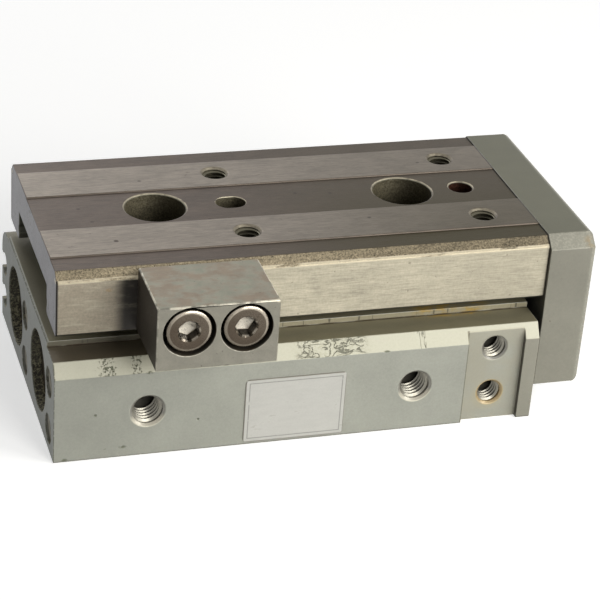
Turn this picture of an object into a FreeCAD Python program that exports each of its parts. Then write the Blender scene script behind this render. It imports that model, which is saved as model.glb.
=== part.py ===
import FreeCAD, Part
import os
import re
import Sketcher

# Pneumatic slide table, twin 12 mm bore, 30 mm stroke, shown retracted.
# X runs along the stroke and points to the end plate, Y points to the switch slots, Z up.
# The origin is the middle of the body's base. "Near" is the -Y side with the air ports.

doc = FreeCAD.newDocument("SlideTable")
vec = FreeCAD.Vector
upright = FreeCAD.Rotation()

# Driving sizes, in millimetres
sizeGroups = {
    "Body": {
        "body_width": 49.0,
        "side_height": 15.0,
        "ledge_height": 17.4,
        "ledge_chamfer": 1.5,
        "far_edge_round": 4.0,
        "base_edge_round": 0.8,
        "plateau_width": 36.1,
        "plateau_step": 0.9,
        "plateau_edge": 0.3,
        "slot_opening": 2.8,
        "slot_core_diameter": 4.1,
        "slot_core_depth": 2.6,
        "lower_slot_height": 4.8,
        "upper_slot_height": 11.0,
        "pad_depth": 1.0,
        "pad_width": 9.8,
        "pad_to_front": 2.4,
        "pad_hole_diameter": 3.3,
        "pad_hole_height": 4.95,
        "pad_hole_pitch": 8.4,
        "pad_hole_depth": 4.0,
    },
    "Cylinders": {
        "stroke": 30.0,
        "bore_diameter": 12.0,
        "bore_pitch": 21.3,
        "bore_height": 8.9,
        "seat_diameter": 13.4,
        "ring_setback": 1.8,
        "ring_thickness": 1.0,
        "ring_groove_depth": 0.5,
        "ring_reach": 1.9,
        "ring_opening": 4.0,
        "cap_length": 10.2,
        "cap_nose_length": 3.7,
        "cover_length": 13.2,
        "cover_nose_length": 5.3,
        "nose_diameter": 9.5,
        "bumper_length": 1.4,
        "stop_gap": 0.3,
        "seal_width": 1.6,
        "seal_depth": 1.1,
        "piston_length": 8.6,
        "piston_seal_width": 2.0,
        "piston_seal_depth": 2.2,
        "magnet_width": 2.4,
        "magnet_depth": 1.8,
        "piston_land": 1.1,
        "spigot_diameter": 3.5,
        "rod_diameter": 6.0,
        "rod_bevel": 0.3,
        "packing_width": 2.6,
        "packing_depth": 2.0,
        "sliding_clearance": 0.05,
        "fixed_clearance": 0.02,
    },
    "Ports and mounting holes": {
        "port_diameter": 4.2,
        "port_rim_diameter": 5.8,
        "port_depth": 5.0,
        "port_height": 8.1,
        "passage_diameter": 1.6,
        "rear_port_inset": 1.85,
        "front_port_inset": 0.4,
        "end_hole_depth": 8.0,
        "end_hole_height": 3.6,
        "end_hole_pitch": 8.5,
        "end_hole_edge": 4.6,
        "end_hole_middle": 1.6,
        "access_rear": 20.75,
        "access_front": 17.05,
        "access_diameter": 9.9,
        "access_rim": 10.4,
        "bolt_hole_diameter": 4.3,
        "bolt_head_diameter": 7.6,
        "bolt_seat_height": 11.5,
    },
    "Guide": {
        "block_width": 22.4,
        "block_rear_margin": 10.85,
        "block_front_margin": 7.15,
        "block_top_gap": 0.5,
        "block_edge": 0.6,
        "block_access_diameter": 8.6,
        "ball_diameter": 2.0,
        "ball_height": 4.1,
        "ball_pitch": 5.9,
        "groove_clearance": 0.1,
        "turn_length": 3.0,
        "turn_width": 24.4,
        "turn_round": 1.0,
        "scraper_thickness": 1.0,
        "scraper_gap": 0.3,
        "block_screw_diameter": 3.0,
        "block_screw_head": 5.6,
        "block_screw_length": 10.0,
        "block_screw_pitch": 20.0,
        "block_screw_spread": 11.0,
        "block_screw_key": 2.0,
    },
    "Table": {
        "table_width": 41.3,
        "table_height": 11.0,
        "table_lift": 2.06,
        "table_inset": 0.85,
        "table_chamfer": 1.5,
        "channel_width": 25.4,
        "channel_depth": 5.05,
        "strip_step": 0.22,
        "strip_inner": 11.8,
        "strip_outer": 30.3,
        "table_edge": 0.4,
        "mount_hole_diameter": 3.3,
        "mount_hole_rim": 4.66,
        "mount_hole_first": 32.5,
        "mount_hole_pitch": 40.0,
        "mount_hole_spread": 21.5,
        "pin_diameter": 4.0,
        "pin_rim": 4.46,
        "pin_depth": 4.0,
        "pin_slot_travel": 1.0,
    },
    "End plate": {
        "plate_gap": 1.5,
        "plate_thickness": 8.3,
        "plate_width": 42.7,
        "plate_bottom": 4.2,
        "plate_corner_width": 2.2,
        "plate_corner_height": 2.0,
        "plate_round": 1.6,
        "bush_diameter": 9.0,
        "bush_length": 4.0,
        "rod_bolt_diameter": 4.0,
        "rod_bolt_length": 10.0,
        "rod_bolt_head": 7.4,
        "rod_bolt_head_height": 2.2,
        "rod_bolt_sink": 2.6,
        "rod_bolt_key": 2.5,
        "rod_bolt_key_depth": 1.3,
        "plate_screw_spread": 32.8,
        "plate_screw_height": 25.2,
        "plate_screw_sink": 4.3,
        "plate_screw_length": 12.0,
        "front_hole_spread": 20.0,
        "front_hole_height": 17.6,
        "front_hole_pitch": 8.0,
        "front_hole_depth": 6.0,
    },
    "Stopper": {
        "stopper_length": 19.0,
        "stopper_depth": 13.2,
        "stopper_height": 10.8,
        "stopper_lift": 0.3,
        "stopper_rear": 12.6,
        "stopper_edge": 0.2,
        "screw_diameter": 4.0,
        "screw_head": 7.0,
        "screw_head_height": 4.0,
        "screw_key": 3.0,
        "head_bevel": 0.4,
        "screw_key_depth": 2.2,
        "screw_sink": 4.2,
        "screw_sink_diameter": 8.2,
        "screw_length": 14.0,
        "screw_pitch": 8.85,
        "screw_first": 5.05,
        "screw_height": 6.45,
        "thread_clearance": 0.05,
        "bottom_clearance": 0.5,
    },
    "Label": {
        "label_length": 16.7,
        "label_height": 11.5,
        "label_thickness": 0.15,
        "label_rear": 30.55,
        "label_bottom": 0.55,
    },
}

sheet = doc.addObject("Spreadsheet::Sheet", "Sizes")
sizes = {}
row = 1
for group, entries in sizeGroups.items():
    sheet.set(f"A{row}", group)
    row += 1
    for alias, number in entries.items():
        sheet.set(f"A{row}", alias.replace("_", " "))
        sheet.set(f"B{row}", str(number))
        sheet.setAlias(f"B{row}", alias)
        sizes[alias] = number
        row += 1
doc.recompute()


# Expressions are written in size names alone, and are tied to the sheet here
def tied(text):
    def prefixed(match):
        word = match.group()
        return "Sizes." + word if word in sizes else word
    return re.sub(r"[a-z_]+", prefixed, text)


def value(text):
    return float(sheet.evalExpression(tied(text)))


def bind(thing, prop, text):
    thing.setExpression(prop, tied(text))


# Stations along X and levels along Z that several pieces share
rearCapSeat = "(ring_setback + ring_thickness + cap_length)"
frontCoverSeat = "(ring_setback + ring_thickness + cover_length)"
rearNoseEnd = f"({rearCapSeat} + cap_nose_length)"
frontNoseEnd = f"({frontCoverSeat} + cover_nose_length)"
bodyLength = (f"({rearNoseEnd} + {frontNoseEnd} + 2 * bumper_length + 2 * stop_gap"
              " + piston_length + stroke)")
rear = f"(-{bodyLength} / 2)"
front = f"({bodyLength} / 2)"
side = "(body_width / 2)"
boreY = "(bore_pitch / 2)"
plateauTop = "(ledge_height + plateau_step)"
tableBottom = f"({plateauTop} + table_lift)"
tableTop = f"({tableBottom} + table_height)"
stripLevel = f"({tableTop} - strip_step)"
channelTop = f"({tableBottom} + channel_depth)"
blockTop = f"({channelTop} - block_top_gap)"
tableRear = f"({rear} + table_inset)"
tableFront = f"({front} + plate_gap)"
plateFront = f"({tableFront} + plate_thickness)"
accessRearX = f"({rear} + access_rear)"
accessFrontX = f"({front} - access_front)"
blockMiddle = f"(({accessRearX} + {accessFrontX}) / 2)"
blockRear = f"({rear} + block_rear_margin)"
blockFront = f"({front} - block_front_margin)"
blockLength = f"({blockFront} - {blockRear})"
ballLevel = f"({plateauTop} + ball_height)"
ballY = "((block_width + channel_width) / 4)"
pistonRear = f"({rear} + {rearNoseEnd} + bumper_length + stop_gap)"
rodEnd = f"({tableFront} + bush_length)"


# Sketch and feature helpers
def newBody(name):
    body = doc.addObject("PartDesign::Body", name)
    body.Label = name
    return body


def originPlane(body, plane):
    return next(f for f in body.Origin.OriginFeatures if f.Role == plane + "_Plane")


def newSketch(body, name, plane, offset="0"):
    sketch = body.newObject("Sketcher::SketchObject", name)
    sketch.AttachmentSupport = (originPlane(body, plane), [""])
    sketch.MapMode = "FlatFace"
    sketch.AttachmentOffset = FreeCAD.Placement(vec(0, 0, value(offset)), upright)
    bind(sketch, "AttachmentOffset.Base.z", offset)
    return sketch


def pin(sketch, item, point, across, up):
    """Holds one point of a sketch at its two distances from the sketch origin."""
    for kind, axis, text in (("DistanceX", -2, across), ("DistanceY", -1, up)):
        if text == "0":
            sketch.addConstraint(Sketcher.Constraint("PointOnObject", item, point, axis))
            continue
        rule = sketch.addConstraint(Sketcher.Constraint(kind, -1, 1, item, point, value(text)))
        bind(sketch, f"Constraints[{rule}]", text)


def polygon(sketch, corners):
    points = [vec(value(across), value(up), 0) for across, up in corners]
    count = len(points)
    first = sketch.GeometryCount
    for i in range(count):
        sketch.addGeometry(Part.LineSegment(points[i], points[(i + 1) % count]), False)
    for i in range(count):
        sketch.addConstraint(Sketcher.Constraint("Coincident", first + i, 2, first + (i + 1) % count, 1))
    for i, (across, up) in enumerate(corners):
        pin(sketch, first + i, 1, across, up)


def rectangle(sketch, left, low, right, high):
    polygon(sketch, [(left, low), (right, low), (right, high), (left, high)])


def circle(sketch, across, up, diameter):
    centre = vec(value(across), value(up), 0)
    item = sketch.addGeometry(Part.Circle(centre, vec(0, 0, 1), value(diameter) / 2), False)
    pin(sketch, item, 3, across, up)
    rule = sketch.addConstraint(Sketcher.Constraint("Diameter", item, value(diameter)))
    bind(sketch, f"Constraints[{rule}]", diameter)


def hexagon(sketch, across, up, keyWidth):
    """A hexagonal socket, with two of its corners on the vertical through its centre."""
    tall = f"({keyWidth} / sqrt(3))"
    corners = []
    for turn, rise in ((0, 1), (-1, 0.5), (-1, -0.5), (0, -1), (1, -0.5), (1, 0.5)):
        corners.append((f"{across} + {turn} * {keyWidth} / 2", f"{up} + {rise} * {tall}"))
    polygon(sketch, corners)


def pad(body, sketch, length):
    feature = body.newObject("PartDesign::Pad", sketch.Name + "Pad")
    feature.Profile = sketch
    bind(feature, "Length", length)
    doc.recompute()
    return feature


def checkedCut(body, feature, before):
    doc.recompute()
    if not feature.Shape.Volume < before - 1e-6:
        raise RuntimeError(feature.Name + " removes nothing")
    return feature


def pocket(body, sketch, depth, flip=False):
    """Cuts against the sketch's normal, or along it when flipped."""
    before = body.Tip.Shape.Volume
    feature = body.newObject("PartDesign::Pocket", sketch.Name + "Pocket")
    feature.Profile = sketch
    feature.Reversed = flip
    bind(feature, "Length", depth)
    return checkedCut(body, feature, before)


def drill(body, sketch, diameter, depth, rim=None, flip=False):
    """Drills at each circle of the sketch, with a right-angled countersink where a rim is given."""
    before = body.Tip.Shape.Volume
    doc.recompute()
    feature = body.newObject("PartDesign::Hole", sketch.Name + "Hole")
    feature.Profile = sketch
    feature.ThreadType = "None"
    feature.DepthType = "Dimension"
    feature.DrillPoint = "Flat"
    feature.Reversed = flip
    bind(feature, "Diameter", diameter)
    bind(feature, "Depth", depth)
    if rim:
        feature.HoleCutType = "Countersink"
        feature.HoleCutCustomValues = True
        feature.HoleCutCountersinkAngle = 90
        bind(feature, "HoleCutDiameter", rim)
    return checkedCut(body, feature, before)


def holeSketch(body, name, plane, offset, centres, diameter):
    sketch = newSketch(body, name, plane, offset)
    for across, up in centres:
        circle(sketch, across, up, diameter)
    return sketch


def dress(body, kind, name, size, test):
    """Rounds or bevels the edges of the body so far whose bounding box passes the test."""
    base = body.Tip
    chosen = [f"Edge{i + 1}" for i, edge in enumerate(base.Shape.Edges) if test(edge.BoundBox)]
    feature = body.newObject("PartDesign::" + kind, name)
    feature.Base = (base, chosen)
    bind(feature, "Radius" if kind == "Fillet" else "Size", size)
    doc.recompute()
    return feature


def mirrorAcross(body, plane, features):
    feature = body.newObject("PartDesign::Mirrored", features[0].Name + "Mirrored")
    feature.Originals = features
    feature.MirrorPlane = (originPlane(body, plane), [""])
    body.Tip = feature
    doc.recompute()
    return feature


def turned(name, outline, across="0", along="0", up="0"):
    """A solid of revolution about X: each corner of the outline is a station and a radius."""
    body = newBody(name)
    sketch = newSketch(body, name + "Outline", "XY")
    polygon(sketch, outline)
    feature = body.newObject("PartDesign::Revolution", name + "Turned")
    feature.Profile = sketch
    feature.ReferenceAxis = (sketch, ["H_Axis"])
    feature.Angle = 360
    place(body, along, across, up)
    doc.recompute()
    return body


def place(thing, along, across, up):
    for axis, text in (("x", along), ("y", across), ("z", up)):
        bind(thing, "Placement.Base." + axis, text)


def group(name, members):
    compound = doc.addObject("Part::Compound", name)
    compound.Label = name
    compound.Links = members
    doc.recompute()
    return compound


def longEdgeAt(y, z):
    """Tests for an edge that runs along X through the given point of the section."""
    def test(box):
        return (box.XLength > 5 and box.YLength < 1e-4 and box.ZLength < 1e-4
                and abs(box.YMin - y) < 1e-3 and abs(box.ZMin - z) < 1e-3)
    return test


nodes = {}
sides = {"near": f"(-{boreY})", "far": boreY}


# Body: one extrusion with a chamfered near edge, a rounded far edge and the guide plateau on top
def makeBody():
    body = newBody("body")
    section = newSketch(body, "bodySection", "YZ", rear)
    polygon(section, [(f"-{side}", "0"), (f"-{side}", "side_height"),
                      (f"-{side} + ledge_chamfer", "ledge_height"),
                      (side, "ledge_height"), (side, "0")])
    pad(body, section, bodyLength)
    farTop = longEdgeAt(value(side), value("ledge_height"))
    dress(body, "Fillet", "farEdgeRound", "far_edge_round", farTop)
    lowEdges = [longEdgeAt(sign * value(side), 0) for sign in (-1, 1)]
    dress(body, "Fillet", "baseEdgeRound", "base_edge_round", lambda box: any(t(box) for t in lowEdges))

    plateau = newSketch(body, "plateau", "XY", "ledge_height")
    rectangle(plateau, rear, "-plateau_width / 2", front, "plateau_width / 2")
    pad(body, plateau, "plateau_step")
    rearX, topZ = value(rear), value(plateauTop)
    dress(body, "Chamfer", "plateauRearEdge", "plateau_edge",
          lambda box: box.XMax < rearX + 1e-3 and box.ZMin > topZ - 1e-3)

    stepped = steppedBore(body)
    mirrorAcross(body, "XZ", [stepped])
    cutSwitchSlots(body)
    cutPorts(body)
    cutStopperPad(body)
    cutMountingHoles(body)
    nodes["body"] = body


def steppedBore(body):
    """Cap seat and ring groove at the rear, the bore, cover seat and ring groove at the front."""
    sketch = newSketch(body, "steppedBore", "XY", "bore_height")

    def at(station, diameter):
        return (station, f"{boreY} + {diameter} / 2")

    grooveDiameter = "(seat_diameter + 2 * ring_groove_depth)"
    ringEnd = "(ring_setback + ring_thickness)"
    polygon(sketch, [
        (rear, boreY), at(rear, "seat_diameter"),
        at(f"{rear} + ring_setback", "seat_diameter"), at(f"{rear} + ring_setback", grooveDiameter),
        at(f"{rear} + {ringEnd}", grooveDiameter), at(f"{rear} + {ringEnd}", "seat_diameter"),
        at(f"{rear} + {rearCapSeat}", "seat_diameter"), at(f"{rear} + {rearCapSeat}", "bore_diameter"),
        at(f"{front} - {frontCoverSeat}", "bore_diameter"),
        at(f"{front} - {frontCoverSeat}", "seat_diameter"),
        at(f"{front} - {ringEnd}", "seat_diameter"), at(f"{front} - {ringEnd}", grooveDiameter),
        at(f"{front} - ring_setback", grooveDiameter), at(f"{front} - ring_setback", "seat_diameter"),
        at(front, "seat_diameter"), (front, boreY),
    ])
    axis = sketch.addGeometry(Part.LineSegment(vec(0, value(boreY), 0), vec(1, value(boreY), 0)), True)
    pin(sketch, axis, 1, "0", boreY)
    sketch.addConstraint(Sketcher.Constraint("Horizontal", axis))
    sketch.addConstraint(Sketcher.Constraint("DistanceX", axis, 1, axis, 2, 1))
    before = body.Tip.Shape.Volume
    feature = body.newObject("PartDesign::Groove", "steppedBoreGroove")
    feature.Profile = sketch
    feature.ReferenceAxis = (sketch, ["Axis0"])
    feature.Angle = 360
    return checkedCut(body, feature, before)


def cutSwitchSlots(body):
    """Two magnetic switch slots: a narrow mouth that opens into a round core."""
    for label, level in (("lower", "lower_slot_height"), ("upper", "upper_slot_height")):
        mouth = newSketch(body, label + "SlotMouth", "YZ", front)
        coreY = f"({side} - slot_core_depth)"
        rectangle(mouth, coreY, f"{level} - slot_opening / 2", side, f"{level} + slot_opening / 2")
        pocket(body, mouth, bodyLength)
        core = newSketch(body, label + "SlotCore", "YZ", front)
        circle(core, coreY, level, "slot_core_diameter")
        pocket(body, core, bodyLength)


rearPortX = f"({rear} + {rearNoseEnd} - rear_port_inset)"
frontPortX = f"({front} - {frontNoseEnd} + front_port_inset)"


def cutPorts(body):
    """Tapped air ports, each with a passage that crosses both bores."""
    centres = [(rearPortX, "port_height"), (frontPortX, "port_height")]
    ports = holeSketch(body, "airPorts", "XZ", side, centres, "port_diameter")
    drill(body, ports, "port_diameter", "port_depth", rim="port_rim_diameter")
    passages = holeSketch(body, "airPassages", "XZ", side, centres, "passage_diameter")
    pocket(body, passages, f"{side} + {boreY}")


def cutStopperPad(body):
    """The machined pad near the front where a stroke adjuster would be screwed on."""
    padRight = f"({front} - pad_to_front)"
    padFace = f"({side} - pad_depth)"
    sketch = newSketch(body, "adjusterPad", "XZ", side)
    rectangle(sketch, f"{padRight} - pad_width", "0", padRight, "ledge_height")
    pocket(body, sketch, "pad_depth")
    padX = f"({padRight} - pad_width / 2)"
    centres = [(padX, "pad_hole_height"), (padX, "pad_hole_height + pad_hole_pitch")]
    holes = holeSketch(body, "adjusterHoles", "XZ", padFace, centres, "pad_hole_diameter")
    drill(body, holes, "pad_hole_diameter", "pad_hole_depth", rim="mount_hole_rim")


def cutMountingHoles(body):
    """Two counterbored holes down the middle, four tapped holes in the rear end, four for the guide."""
    middle = [(accessRearX, "0"), (accessFrontX, "0")]
    sink = holeSketch(body, "boltHeads", "XY", plateauTop, middle, "bolt_head_diameter")
    pocket(body, sink, f"{plateauTop} - bolt_seat_height")
    through = holeSketch(body, "boltHoles", "XY", plateauTop, middle, "bolt_hole_diameter")
    pocket(body, through, plateauTop)

    levels = ("end_hole_height", "end_hole_height + end_hole_pitch")
    columns = (f"-{side} + end_hole_edge", "end_hole_middle")
    centres = [(across, level) for across in columns for level in levels]
    ends = holeSketch(body, "endHoles", "YZ", rear, centres, "port_diameter")
    pocket(body, ends, "end_hole_depth", flip=True)

    tapped = holeSketch(body, "guideTaps", "XY", plateauTop, blockScrewCentres(),
                        "block_screw_diameter + 2 * thread_clearance")
    pocket(body, tapped, f"block_screw_length - ({blockTop} - {plateauTop}) + bottom_clearance")


# Linear guide: the rail block, its ball rows, the turns and the scrapers
def blockScrewCentres():
    return [(f"{blockMiddle} + {i} * block_screw_pitch / 2", f"{j} * block_screw_spread / 2")
            for i in (-1, 1) for j in (-1, 1)]


def cutRaceways(body, plane, offset, length):
    sketch = newSketch(body, body.Name + "Raceways", plane, offset)
    for sign in (-1, 1):
        circle(sketch, f"{sign} * {ballY}", ballLevel, "ball_diameter + 2 * groove_clearance")
    pocket(body, sketch, length)


def guideSection(sketch, halfWidth, top, edge):
    polygon(sketch, [(f"-{halfWidth}", plateauTop), (f"-{halfWidth}", f"{top} - {edge}"),
                     (f"-{halfWidth} + {edge}", top), (f"{halfWidth} - {edge}", top),
                     (halfWidth, f"{top} - {edge}"), (halfWidth, plateauTop)])


def makeGuideBlock():
    body = newBody("guide_block")
    section = newSketch(body, "blockSection", "YZ", blockRear)
    guideSection(section, "(block_width / 2)", blockTop, "block_edge")
    pad(body, section, blockLength)
    cutRaceways(body, "YZ", blockFront, blockLength)
    middle = [(accessRearX, "0"), (accessFrontX, "0")]
    access = holeSketch(body, "blockAccess", "XY", blockTop, middle, "block_access_diameter")
    pocket(body, access, f"{blockTop} - {plateauTop}")
    screws = holeSketch(body, "blockScrewHoles", "XY", blockTop, blockScrewCentres(), "block_screw_diameter")
    drill(body, screws, "block_screw_diameter + 2 * thread_clearance", f"{blockTop} - {plateauTop}",
          rim="block_screw_head + 2 * thread_clearance")
    nodes["guide_block"] = body


def makeGuideScrews():
    """Countersunk screws: outline from the flat head down to the tip, turned about X and stood up."""
    screws = []
    headSlope = "((block_screw_head - block_screw_diameter) / 2)"
    for i, (along, across) in enumerate(blockScrewCentres()):
        body = newBody(f"blockScrew{i + 1}")
        outline = newSketch(body, f"blockScrew{i + 1}Outline", "XZ")
        polygon(outline, [("0", "0"), ("block_screw_head / 2", "0"),
                          ("block_screw_diameter / 2", f"-{headSlope}"),
                          ("block_screw_diameter / 2", "-block_screw_length"), ("0", "-block_screw_length")])
        feature = body.newObject("PartDesign::Revolution", f"blockScrew{i + 1}Turned")
        feature.Profile = outline
        feature.ReferenceAxis = (outline, ["V_Axis"])
        feature.Angle = 360
        doc.recompute()
        key = newSketch(body, f"blockScrew{i + 1}Key", "XY")
        hexagon(key, "0", "0", "block_screw_key")
        pocket(body, key, "block_screw_key / 2")
        place(body, along, across, blockTop)
        screws.append(body)
    nodes["guide_block_screws"] = group("guide_block_screws", screws)


def makeBallRows():
    count = int(value(f"({blockLength} - ball_diameter) / ball_pitch")) + 1
    for name, sign in (("near", -1), ("far", 1)):
        balls = []
        for i in range(count):
            ball = doc.addObject("Part::Sphere", f"ball_{name}_{i + 1}")
            bind(ball, "Radius", "ball_diameter / 2")
            shift = i - (count - 1) / 2
            along = f"({blockRear} + {blockFront}) / 2 + {shift} * ball_pitch"
            place(ball, along, f"{sign} * {ballY}", ballLevel)
            balls.append(ball)
        nodes["guide_balls_" + name] = group("guide_balls_" + name, balls)


def makeTurnsAndScrapers():
    """At each end a plastic ball turn as wide as the channel allows, then a rubber scraper."""
    scraperHalf = "(channel_width / 2 - scraper_gap)"
    scraperTop = f"({channelTop} - scraper_gap)"
    turnStart = {"rear": f"{blockRear} - turn_length", "front": blockFront}
    scraperStart = {"rear": f"{blockRear} - turn_length - scraper_thickness",
                    "front": f"{blockFront} + turn_length"}
    for end in ("rear", "front"):
        turn = newBody("ball_turn_" + end)
        section = newSketch(turn, end + "TurnSection", "YZ", turnStart[end])
        guideSection(section, "(turn_width / 2)", blockTop, "turn_round")
        pad(turn, section, "turn_length")
        nodes["ball_turn_" + end] = turn
        scraper = newBody("scraper_" + end)
        section = newSketch(scraper, end + "ScraperSection", "YZ", scraperStart[end])
        guideSection(section, scraperHalf, scraperTop, "scraper_thickness")
        pad(scraper, section, "scraper_thickness")
        nodes["scraper_" + end] = scraper


# Cylinder fittings, one set for each bore
def makeRearFittings(name, across):
    seatRadius = "(seat_diameter / 2 - fixed_clearance)"
    noseRadius = "(nose_diameter / 2)"
    sealFloor = f"({seatRadius} - seal_depth)"
    sealStart = "(cap_length / 2 - seal_width / 2)"
    sealEnd = "(cap_length / 2 + seal_width / 2)"
    cap = turned("head_cap_" + name, [
        ("0", "0"), ("0", seatRadius), (sealStart, seatRadius), (sealStart, sealFloor),
        (sealEnd, sealFloor), (sealEnd, seatRadius), ("cap_length", seatRadius),
        ("cap_length", noseRadius), ("cap_length + cap_nose_length", noseRadius),
        ("cap_length + cap_nose_length", "0"),
    ], across, f"{rear} + ring_setback + ring_thickness", "bore_height")
    nodes["head_cap_" + name] = cap
    nodes["head_cap_seal_" + name] = turned(
        "head_cap_seal_" + name, sealOutline(sealFloor, seatRadius, "seal_width"),
        across, f"{rear} + ring_setback + ring_thickness + {sealStart}", "bore_height")
    nodes["rear_bumper_" + name] = turned("rear_bumper_" + name, [
        ("0", "0"), ("0", noseRadius), ("bumper_length", noseRadius), ("bumper_length", "0"),
    ], across, f"{rear} + {rearNoseEnd}", "bore_height")


def sealOutline(inner, outer, width):
    """A ring section that is flat inside and crowned outside, as a seal pressed into its groove."""
    cut = f"({width} / 4)"
    return [("0", inner), ("0", f"{outer} - {cut}"), (cut, outer), (f"{width} - {cut}", outer),
            (width, f"{outer} - {cut}"), (width, inner)]


def makeFrontFittings(name, across):
    seatRadius = "(seat_diameter / 2 - fixed_clearance)"
    noseRadius = "(nose_diameter / 2)"
    rodHole = "(rod_diameter / 2 + sliding_clearance)"
    packingWall = "(rod_diameter / 2 + packing_depth)"
    sealFloor = f"({seatRadius} - seal_depth)"
    noseEnd = "cover_nose_length"
    fullLength = "(cover_nose_length + cover_length)"
    packingStart = f"({fullLength} - packing_width)"
    sealStart = "(cover_nose_length + cover_length / 2 - seal_width / 2)"
    sealEnd = "(cover_nose_length + cover_length / 2 + seal_width / 2)"
    start = f"{front} - {frontNoseEnd}"
    cover = turned("rod_cover_" + name, [
        ("0", rodHole), ("0", noseRadius), (noseEnd, noseRadius), (noseEnd, seatRadius),
        (sealStart, seatRadius), (sealStart, sealFloor), (sealEnd, sealFloor), (sealEnd, seatRadius),
        (fullLength, seatRadius), (fullLength, packingWall), (packingStart, packingWall),
        (packingStart, rodHole),
    ], across, start, "bore_height")
    nodes["rod_cover_" + name] = cover
    nodes["rod_cover_seal_" + name] = turned(
        "rod_cover_seal_" + name, sealOutline(sealFloor, seatRadius, "seal_width"),
        across, f"{start} + {sealStart}", "bore_height")
    nodes["rod_packing_" + name] = turned(
        "rod_packing_" + name, packingOutline(rodHole, packingWall),
        across, f"{start} + {packingStart}", "bore_height")
    nodes["front_bumper_" + name] = turned("front_bumper_" + name, [
        ("0", f"{rodHole} + stop_gap"), ("0", noseRadius),
        ("bumper_length", noseRadius), ("bumper_length", f"{rodHole} + stop_gap"),
    ], across, f"{start} - bumper_length", "bore_height")


def packingOutline(inner, outer):
    """A lip packing: full width at its heel, with a notch between its two lips at the front."""
    middle = f"(({inner} + {outer}) / 2)"
    lip = "(packing_depth / 4)"
    return [("0", inner), ("0", outer), ("packing_width", outer), ("packing_width", f"{outer} - {lip}"),
            ("packing_width / 2", middle), ("packing_width", f"{inner} + {lip}"), ("packing_width", inner)]


def makeRetainingRing(name, across, station):
    """A spring ring in its groove, open at the bottom, that reaches over the rod packing's rim."""
    body = newBody(name)
    sketch = newSketch(body, name + "Outline", "YZ")
    circle(sketch, "0", "0", "seat_diameter + 2 * ring_groove_depth - 2 * fixed_clearance")
    circle(sketch, "0", "0", "seat_diameter - 2 * ring_reach")
    pad(body, sketch, "ring_thickness")
    opening = newSketch(body, name + "Opening", "YZ", "ring_thickness")
    rectangle(opening, "-ring_opening / 2", "-seat_diameter", "ring_opening / 2", "0")
    pocket(body, opening, "ring_thickness")
    place(body, station, across, "bore_height")
    doc.recompute()
    nodes[name] = body


def makePistonAndRod(name, across):
    pistonRadius = "(bore_diameter / 2 - 2 * sliding_clearance)"
    sealRadius = "(bore_diameter / 2 - sliding_clearance)"
    bore = "(spigot_diameter / 2 + fixed_clearance)"
    sealStart = "(piston_length - piston_land - piston_seal_width)"
    sealEnd = "(piston_length - piston_land)"
    sealFloor = f"({pistonRadius} - piston_seal_depth)"
    magnetEnd = "(piston_land + magnet_width)"
    magnetFloor = f"({pistonRadius} - magnet_depth)"
    nodes["piston_" + name] = turned("piston_" + name, [
        ("0", bore), ("0", pistonRadius), ("piston_land", pistonRadius), ("piston_land", magnetFloor),
        (magnetEnd, magnetFloor), (magnetEnd, pistonRadius), (sealStart, pistonRadius),
        (sealStart, sealFloor), (sealEnd, sealFloor), (sealEnd, pistonRadius),
        ("piston_length", pistonRadius), ("piston_length", bore),
    ], across, pistonRear, "bore_height")
    nodes["piston_seal_" + name] = turned(
        "piston_seal_" + name, sealOutline(sealFloor, sealRadius, "piston_seal_width"),
        across, f"{pistonRear} + {sealStart}", "bore_height")
    nodes["magnet_" + name] = turned("magnet_" + name, [
        ("0", magnetFloor), ("0", pistonRadius),
        ("magnet_width", pistonRadius), ("magnet_width", magnetFloor),
    ], across, f"{pistonRear} + piston_land", "bore_height")

    rodLength = f"({rodEnd} - {pistonRear})"
    tapRadius = "(rod_bolt_diameter / 2 + thread_clearance)"
    tapDepth = "(rod_bolt_length + bottom_clearance)"
    nodes["piston_rod_" + name] = turned("piston_rod_" + name, [
        ("0", "0"), ("0", "spigot_diameter / 2"), ("piston_length", "spigot_diameter / 2"),
        ("piston_length", "rod_diameter / 2"), (f"{rodLength} - rod_bevel", "rod_diameter / 2"),
        (rodLength, "rod_diameter / 2 - rod_bevel"), (rodLength, tapRadius),
        (f"{rodLength} - {tapDepth} + {webThickness()}", tapRadius),
        (f"{rodLength} - {tapDepth} + {webThickness()}", "0"),
    ], across, pistonRear, "bore_height")
    nodes["floating_bush_" + name] = turned("floating_bush_" + name, [
        ("0", "rod_diameter / 2 + fixed_clearance"), ("0", "bush_diameter / 2 - fixed_clearance"),
        ("bush_length", "bush_diameter / 2 - fixed_clearance"),
        ("bush_length", "rod_diameter / 2 + fixed_clearance"),
    ], across, tableFront, "bore_height")
    nodes["rod_bolt_" + name] = capScrew(
        "rod_bolt_" + name, "rod_bolt_diameter", "rod_bolt_length", "rod_bolt_head", "rod_bolt_head_height",
        "rod_bolt_key", "rod_bolt_key_depth", across, f"{plateFront} - rod_bolt_sink", "bore_height")


def webThickness():
    """The end plate's wall between a rod's end and its bolt's head."""
    return "(plate_thickness - bush_length - rod_bolt_sink)"


def capScrew(name, diameter, length, head, headHeight, key, keyDepth, across, along, up):
    """A socket screw along X with its head's underside at the station given and its tip behind it."""
    body = turned(name, [
        (f"-{length}", "0"), (f"-{length}", f"{diameter} / 2"), ("0", f"{diameter} / 2"),
        ("0", f"{head} / 2"), (f"{headHeight} - head_bevel", f"{head} / 2"),
        (headHeight, f"{head} / 2 - head_bevel"), (headHeight, "0"),
    ], across, along, up)
    socket = newSketch(body, name + "Socket", "YZ", headHeight)
    hexagon(socket, "0", "0", key)
    pocket(body, socket, keyDepth)
    return body


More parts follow.
